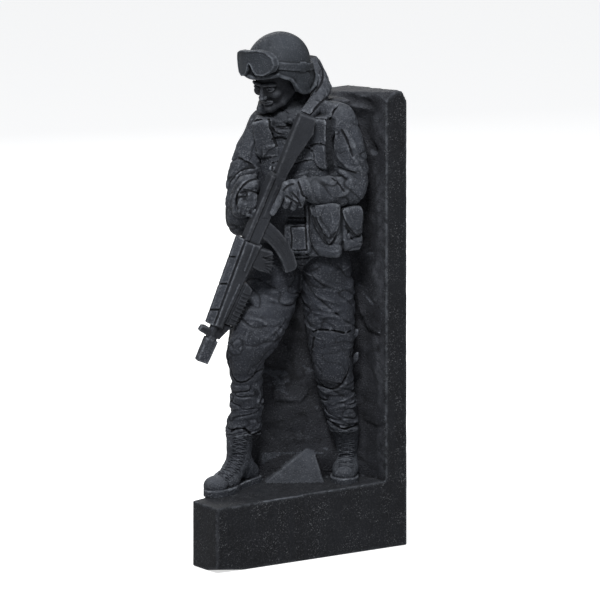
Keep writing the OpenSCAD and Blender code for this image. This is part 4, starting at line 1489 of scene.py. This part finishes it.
# %% The face
HEAD = (turned(rx=24, rz=-46), np.array([-68.0, -18, 1590]))
FACE = (turned(rx=22, rz=-34), np.array([-95.0, -29, 1585]))
head = Clay([-92, -132, -118], [92, 100, 112], 2.3, FACE)
head.add(ball([0, 8, 0], [73, 88, 104]))
for s in (-1, 1):
    head.add(path([(s * 56, 2, -46), (s * 40, -40, -72), (0, -66, -88)], [22, 20, 19]), 16)
    head.add(ball([s * 36, -62, -20], [23, 22, 20]), 14)
    head.add(path([(s * 8, -87, 24), (s * 30, -86, 27), (s * 50, -68, 20)], [6, 7.5, 6]), 9)
head.add(ball([0, -70, -84], [20, 18, 16]), 12)
for s in (-1, 1):
    head.cut(ball([s * 31, -92, 8], [16, 14, 10]), 8)
    head.add(ball([s * 31, -73, 7], [13, 12, 12]), 2)
    head.add(path(smoothed([(s * 18, -84, 6), (s * 25, -88, 12), (s * 35, -87, 13), (s * 45, -77, 7)], 3),
                  3), 2)
    head.add(path(smoothed([(s * 18, -84, 5), (s * 28, -87, 0), (s * 38, -83, 0), (s * 45, -77, 6)], 3),
                  2.6), 2)
head.add(rod((0, -88, 16), (0, -108, -22), 6, 9), 7)
head.add(ball([0, -108, -23], [9.5, 9.5, 8.5]), 5)
for s in (-1, 1):
    head.add(ball([s * 11, -99, -25], [7, 9, 7]), 4)
    head.cut(ball([s * 6, -102, -32], [3.5, 4, 3.5]), 2)
    head.cut(path([(s * 15, -92, -30), (s * 27, -82, -50)], 2.4), 6)
head.add(path(smoothed([(-24, -81, -52), (-9, -90, -48), (0, -90, -50), (9, -90, -48), (24, -81, -52)],
                       3), 4.4), 5)
head.add(path(smoothed([(-20, -82, -57), (0, -90, -60), (20, -82, -57)], 3), 5.4), 4)
head.cut(path(smoothed([(-24, -86, -53.5), (0, -97, -53.5), (24, -86, -53.5)], 3), 1.9), 1.5)
head.cut(ball([0, -92, -70], [14, 6, 5]), 6)
head.roughen(16, 0.5, 21)
# The face takes the smooth, dark plain finish; its darkness is painted shade under the helmet's brim.
face_piece = skinned(head, "face", plain, 50000)

# %% [markdown]
# The helmet sits a little askew, so it has its own frame as well. Its shell is a dome over a tapering
# wall, cut along an edge that is drawn in side view, and hollowed under the brow. A rolled rim follows
# the edge round the brow, the ears and the nape.

# %% The helmet's shell, brow and ear guards
helmet = Clay([-132, -172, -118], [132, 150, 192], 2.3, HEAD)
BROW_HEIGHT = 66
dome = ball([0, 0, 52], [114, 134, 126])
wall = Shape([-116, -136, -90], [116, 136, 60], lambda x, y, z: np.maximum(
    (np.sqrt((x / 111) ** 2 + (y / 131) ** 2) - 1) * 111 + 0.06 * np.maximum(52 - z, 0), z - 60))
EDGE = [(-160, 80), (-118, 84), (-92, 80), (-72, 68), (-50, 44), (-40, 20), (-32, -12), (-24, -38),
        (-8, -54),
        (14, -64), (36, -68), (62, -66), (92, -56), (150, -48), (170, 230), (-160, 230)]
edge_of_shell = plate(EDGE, 0, -140, 140, 3)
hollow = ball([0, 4, 30], [99, 118, 118])
shell = Shape([-118, -138, -72], [118, 138, 182], lambda x, y, z: np.maximum(
    np.minimum(dome.distance(x, y, z), wall.distance(x, y, z)), edge_of_shell.distance(x, y, z)))
helmet.add(Shape(shell.low, shell.high, lambda x, y, z: np.maximum(
    shell.distance(x, y, z), -np.maximum(hollow.distance(x, y, z), z - BROW_HEIGHT))), 2)
brow = [(-92, -84, 66), (-62, -116, 75), (0, -135, 82), (60, -116, 84), (90, -84, 78)]
helmet.add(path(smoothed(brow, 5), 8.5), 5)
helmet.add(path([(-70, -110, 72), (-94, -86, 58), (-106, -58, 34)], [12, 11, 8]), 6)
for s in (-1, 1):
    guard = [(s * 90, -84, 78), (s * 104, -68, 58), (s * 110, -44, 32), (s * 110, -30, -14),
             (s * 107, -6, -50), (s * 104, 24, -62),
             (s * 100, 60, -60)]
    helmet.add(path(smoothed(guard, 4), 6), 4)
helmet.add(path(smoothed([(-100, 60, -58), (-70, 104, -50), (0, 128, -46), (70, 104, -50),
                          (100, 60, -58)], 5), 7), 4)
helmet.add([ball([s * 104, 8, -12], [14, 40, 44]) for s in (-1, 1)], 10)

# %% [markdown]
# The goggles are one outline bent round the helmet's front. It is added as a thick plate, and a smaller
# copy of it is cut back into the plate, which leaves the rim standing round a flat lens.

# %% Goggles pushed up on the brow, and their strap
strap_plane = slab([0, 0, 64.8], [0, 0.675, 1], 14)
helmet.add(Shape(dome.low - 6, dome.high + 6, lambda x, y, z: np.maximum(
    np.minimum(dome.distance(x, y, z), wall.distance(x, y, z)) - 6.5,
    np.maximum(strap_plane.distance(x, y, z), -90 - y))), 1.5)
LENS = [(0, 42), (50, 44), (84, 34), (106, 10), (110, -18), (97, -43), (64, -56), (33, -52), (18, -35),
        (9, -14), (0, -8)]
LENS = LENS + [(-x, y) for x, y in LENS[-2:0:-1]]
GOGGLE_PLACE = (-5, -118, 143)
GOGGLE_TURN = turned(rx=-24, ry=-11)


def goggle(x, y, z, grow, front, depth):
    """Wrapped round the brow: an outline in side and height, bent back towards its ends."""
    x, y, z = local(x, y, z, GOGGLE_PLACE, GOGGLE_TURN)
    bent = y - 0.0029 * x * x + 0.0012 * z ** 2
    around = outline_distance(x, z, LENS) - grow
    through = np.maximum(front - bent, bent - depth)
    return np.maximum(around, through)


lens_low, lens_high = np.array([-122, -140, 80]), np.array([122, -40, 196])
RIM = 5
helmet.add(Shape(lens_low, lens_high, lambda x, y, z: goggle(x, y, z, 0, -9, 20)), 1)
helmet.cut(Shape(lens_low, lens_high, lambda x, y, z: goggle(x, y, z, -RIM, -40, -5)), 0.5)
helmet.add([box([s * 110, 22, 50], [16, 34, 40], 3, (-34, 0, 0)) for s in (1, -1)], 1)
helmet.roughen(30, 0.5, 23)
helmet_piece = skinned(helmet, "helmet", honed, 112000)
PIECES = [block_piece, step_piece, stand_piece, trunk_piece, right_piece, left_piece, rifle_piece,
          face_piece,
          helmet_piece]


# %% [markdown]
# ## Small things in rows
# Laces, the ribs of the rifle's rail and the stitched webbing are the same small rounded bar over and
# over, laid on the stone along a line. The bar is a ball stretched three ways. Geometry Nodes places them:
# each point of a row carries the way out of the stone and the way the bar lies, and the tree puts a bar
# there, turned to both.

# %% A tree that lays bars on points
def bars_tree():
    """The Geometry Nodes tree of a row of bars."""
    tree = bpy.data.node_groups.new("bars_on_points", "GeometryNodeTree")
    sockets = tree.interface
    sockets.new_socket("Geometry", in_out="INPUT", socket_type="NodeSocketGeometry")
    sockets.new_socket("Height, Width, Length", in_out="INPUT", socket_type="NodeSocketVector")
    sockets.new_socket("Material", in_out="INPUT", socket_type="NodeSocketMaterial")
    sockets.new_socket("Geometry", in_out="OUTPUT", socket_type="NodeSocketGeometry")
    given, out = tree.nodes.new("NodeGroupInput"), tree.nodes.new("NodeGroupOutput")

    def named(label):
        return node(tree, "GeometryNodeInputNamedAttribute", {"Name": label},
                    data_type="FLOAT_VECTOR").outputs["Attribute"]

    bar = node(tree, "GeometryNodeMeshUVSphere", {"Segments": 10, "Rings": 6, "Radius": 0.5})
    lying = node(tree, "FunctionNodeAlignRotationToVector", {"Vector": named("along")}, axis="Z")
    facing = node(tree, "FunctionNodeAlignRotationToVector", {
        "Rotation": lying.outputs[0], "Vector": named("out")}, axis="X", pivot_axis="Z")
    placed = node(tree, "GeometryNodeInstanceOnPoints", {
        "Points": given.outputs["Geometry"], "Instance": bar.outputs["Mesh"],
        "Rotation": facing.outputs[0], "Scale": given.outputs["Height, Width, Length"]})
    real = node(tree, "GeometryNodeRealizeInstances", {"Geometry": placed.outputs[0]})
    round_ = node(tree, "GeometryNodeSetShadeSmooth", {"Geometry": real.outputs[0]})
    coloured = node(tree, "GeometryNodeSetMaterial", {
        "Geometry": round_.outputs[0], "Material": given.outputs["Material"]})
    tree.links.new(coloured.outputs[0], out.inputs["Geometry"])
    return tree


BARS = bars_tree()


def row(clay, line, spacing, lean=0.0):
    """Points along a line on the clay, with the way out and the way a bar lies, in the block's frame."""
    at, out = laid(clay, line, spacing)
    onward = np.gradient(at, axis=0)
    across = np.cross(out, onward)
    onward /= np.linalg.norm(onward, axis=1, keepdims=True)
    across /= np.linalg.norm(across, axis=1, keepdims=True)
    angle = math.radians(lean)
    along = across * math.cos(angle) + onward * math.sin(angle)
    return clay.in_block(at), out @ clay.turn.T @ TO_BLOCK.T, along @ clay.turn.T @ TO_BLOCK.T


def bars(name, rows, size, material):
    """One bar on every point of some rows: size is [height, width, length] in millimetres."""
    place, out, along = (np.concatenate(part) for part in zip(*rows))
    mesh = bpy.data.meshes.new(name)
    mesh.vertices.add(len(place))
    mesh.vertices.foreach_set("co", place.astype(np.float32).ravel())
    for label, values in (("out", out), ("along", along)):
        layer = mesh.attributes.new(label, "FLOAT_VECTOR", "POINT")
        layer.data.foreach_set("vector", values.astype(np.float32).ravel())
    obj = bpy.data.objects.new(name, mesh)
    bpy.context.scene.collection.objects.link(obj)
    made = obj.modifiers.new("bars", "NODES")
    made.node_group = BARS
    names = {item.name: item.identifier for item in BARS.interface.items_tree if item.in_out == "INPUT"}
    made[names["Height, Width, Length"]] = [value * MM for value in size]
    made[names["Material"]] = material
    plain = plain_mesh(obj, name)
    obj.modifiers.clear()
    obj.data = plain
    print(name, "has", len(place), "bars and", len(plain.polygons), "faces")
    return obj


# %% [markdown]
# The tree makes four pieces: crossing laces on each boot, two rows of ribs under the rifle's fore-end, and
# three rows of stitched webbing on the vest.

# %% Laces, rail and webbing
step_laces = bars("stepping_laces", [row(step_leg, [(-229, 179), (-233, 111), (-256, 50), (-294, 16)], 15,
                                         lean)
                                     for lean in (-17, 17)], (9, 6.5, 62), carved)
stand_laces = bars("standing_laces", [row(stand_leg, [(178, 191), (178, 126), (174, 58)], 14, lean)
                                      for lean in (-15, 15)], (9, 6.5, 66), carved)
rail = bars("rail_ribs", [row(gun, [(-203, 713), (-233, 644), (-264, 583)], 15),
                          row(gun, [(-119, 858), (-115, 820), (-134, 789)], 11)], (8, 8, 40), plain)
webbing = bars("webbing", [row(trunk, [(-54, high), (-12, low), (30, low)], 12, 90)
                           for high, low in ((877, 873), (861, 858), (846, 842))], (6, 7, 11), carved)
PIECES += [step_laces, stand_laces, rail, webbing]


# %% [markdown]
# ## Floor, light and camera
# A studio for stone: a pale floor, a soft lamp high on the left, and an even sky. The camera
# looks square on at the soldier from a little above, without perspective, as a long lens does.

# %% Floor
FLOOR_GLOW = 0.66
bpy.ops.mesh.primitive_plane_add(size=60, location=(0, 0, -0.0005))
floor = bpy.context.object
floor.name = "floor"
pale = bpy.data.materials.new("pale_floor")
pale.use_nodes = True
tree = pale.node_tree
paint = tree.nodes["Principled BSDF"]
paint.inputs["Base Color"].default_value = (0.62, 0.62, 0.62, 1)
paint.inputs["Roughness"].default_value = 0.9
glow = node(tree, "ShaderNodeEmission", {"Color": (1, 1, 1, 1)})
eye = node(tree, "ShaderNodeLightPath")
seen = maths(tree, "MAXIMUM", eye.outputs["Is Camera Ray"], eye.outputs["Is Glossy Ray"])
tree.links.new(maths(tree, "MULTIPLY", seen, FLOOR_GLOW), glow.inputs["Strength"])
total = node(tree, "ShaderNodeAddShader", {0: paint.outputs[0], 1: glow.outputs[0]})
tree.links.new(total.outputs[0], tree.nodes["Material Output"].inputs["Surface"])
floor.data.materials.append(pale)

# %% [markdown]
# The key lamp is high and to the left, as the sun would be, and small enough to leave a clear shadow under
# each fold. A weak fill keeps the shaded side from going black, and a lamp behind shows the pillar's back.

# %% Light
def lamp(name, at, aim, size, power):
    """A round soft lamp at a place in metres, turned to its aim, with its power in watts."""
    data = bpy.data.lights.new(name, "AREA")
    data.shape, data.size, data.energy = "DISK", size, power
    made = bpy.data.objects.new(name, data)
    made.location = at
    direction = mathutils.Vector(np.array(aim) - np.array(at))
    made.rotation_euler = direction.to_track_quat("-Z", "Y").to_euler()
    bpy.context.scene.collection.objects.link(made)
    return made


MIDDLE = (0, 0, 1.0)
lamp("key", (-2.3, -2.9, 6.0), MIDDLE, size=1.5, power=510)
lamp("fill", (2.6, -4.4, 2.0), MIDDLE, size=3.0, power=12)
lamp("back", (2.0, 5.0, 3.4), MIDDLE, size=3.0, power=190)
world = bpy.data.worlds.new("sky")
bpy.context.scene.world = world
world.use_nodes = True
sky = world.node_tree
soft = sky.nodes["Background"]
soft.inputs["Color"].default_value = (0.93, 0.96, 1.0, 1)
soft.inputs["Strength"].default_value = 0.32
white = node(sky, "ShaderNodeBackground", {"Color": (1, 1, 1, 1), "Strength": 1.0})
ray = node(sky, "ShaderNodeLightPath")
seen = maths(sky, "MAXIMUM", ray.outputs["Is Camera Ray"], ray.outputs["Is Transmission Ray"])
both = node(sky, "ShaderNodeMixShader", {0: seen, 1: soft.outputs[0], 2: white.outputs[0]})
sky.links.new(both.outputs[0], sky.nodes["World Output"].inputs["Surface"])

# %% [markdown]
# The camera turns with the soldier, not with the block, and looks down a little. A parallel view keeps the
# pillar's edges upright, so only the size of the view and its direction matter, not the distance.

# %% Camera
VIEW_SIZE, CAMERA_DISTANCE = 2.286, 6.0
camera = bpy.data.objects.new("camera", bpy.data.cameras.new("camera"))
bpy.context.scene.collection.objects.link(camera)
camera.data.type = "ORTHO"
camera.data.ortho_scale = VIEW_SIZE
turn, fall = math.radians(-FIGURE_TURN), math.radians(SIGHT_FALL)
toward = mathutils.Vector((math.sin(turn) * math.cos(fall), -math.cos(turn) * math.cos(fall),
                           math.sin(fall)))
aim = mathutils.Vector((-0.0685, -0.2257, 1.0296))
camera.location = aim + toward * CAMERA_DISTANCE
camera.rotation_euler = toward.to_track_quat("Z", "Y").to_euler()
camera.data.clip_end = 60
bpy.context.scene.camera = camera
bpy.context.scene.view_settings.view_transform = "Standard"
print("the camera stands at", [round(v, 3) for v in camera.location])

# %% [markdown]
# ## Hand over
# Every piece rides on the one body of the memorial, and the block stands for the construction model.

# %% Bind the pieces and finish
for piece in PIECES:
    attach(piece, "root")
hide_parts("memorial")
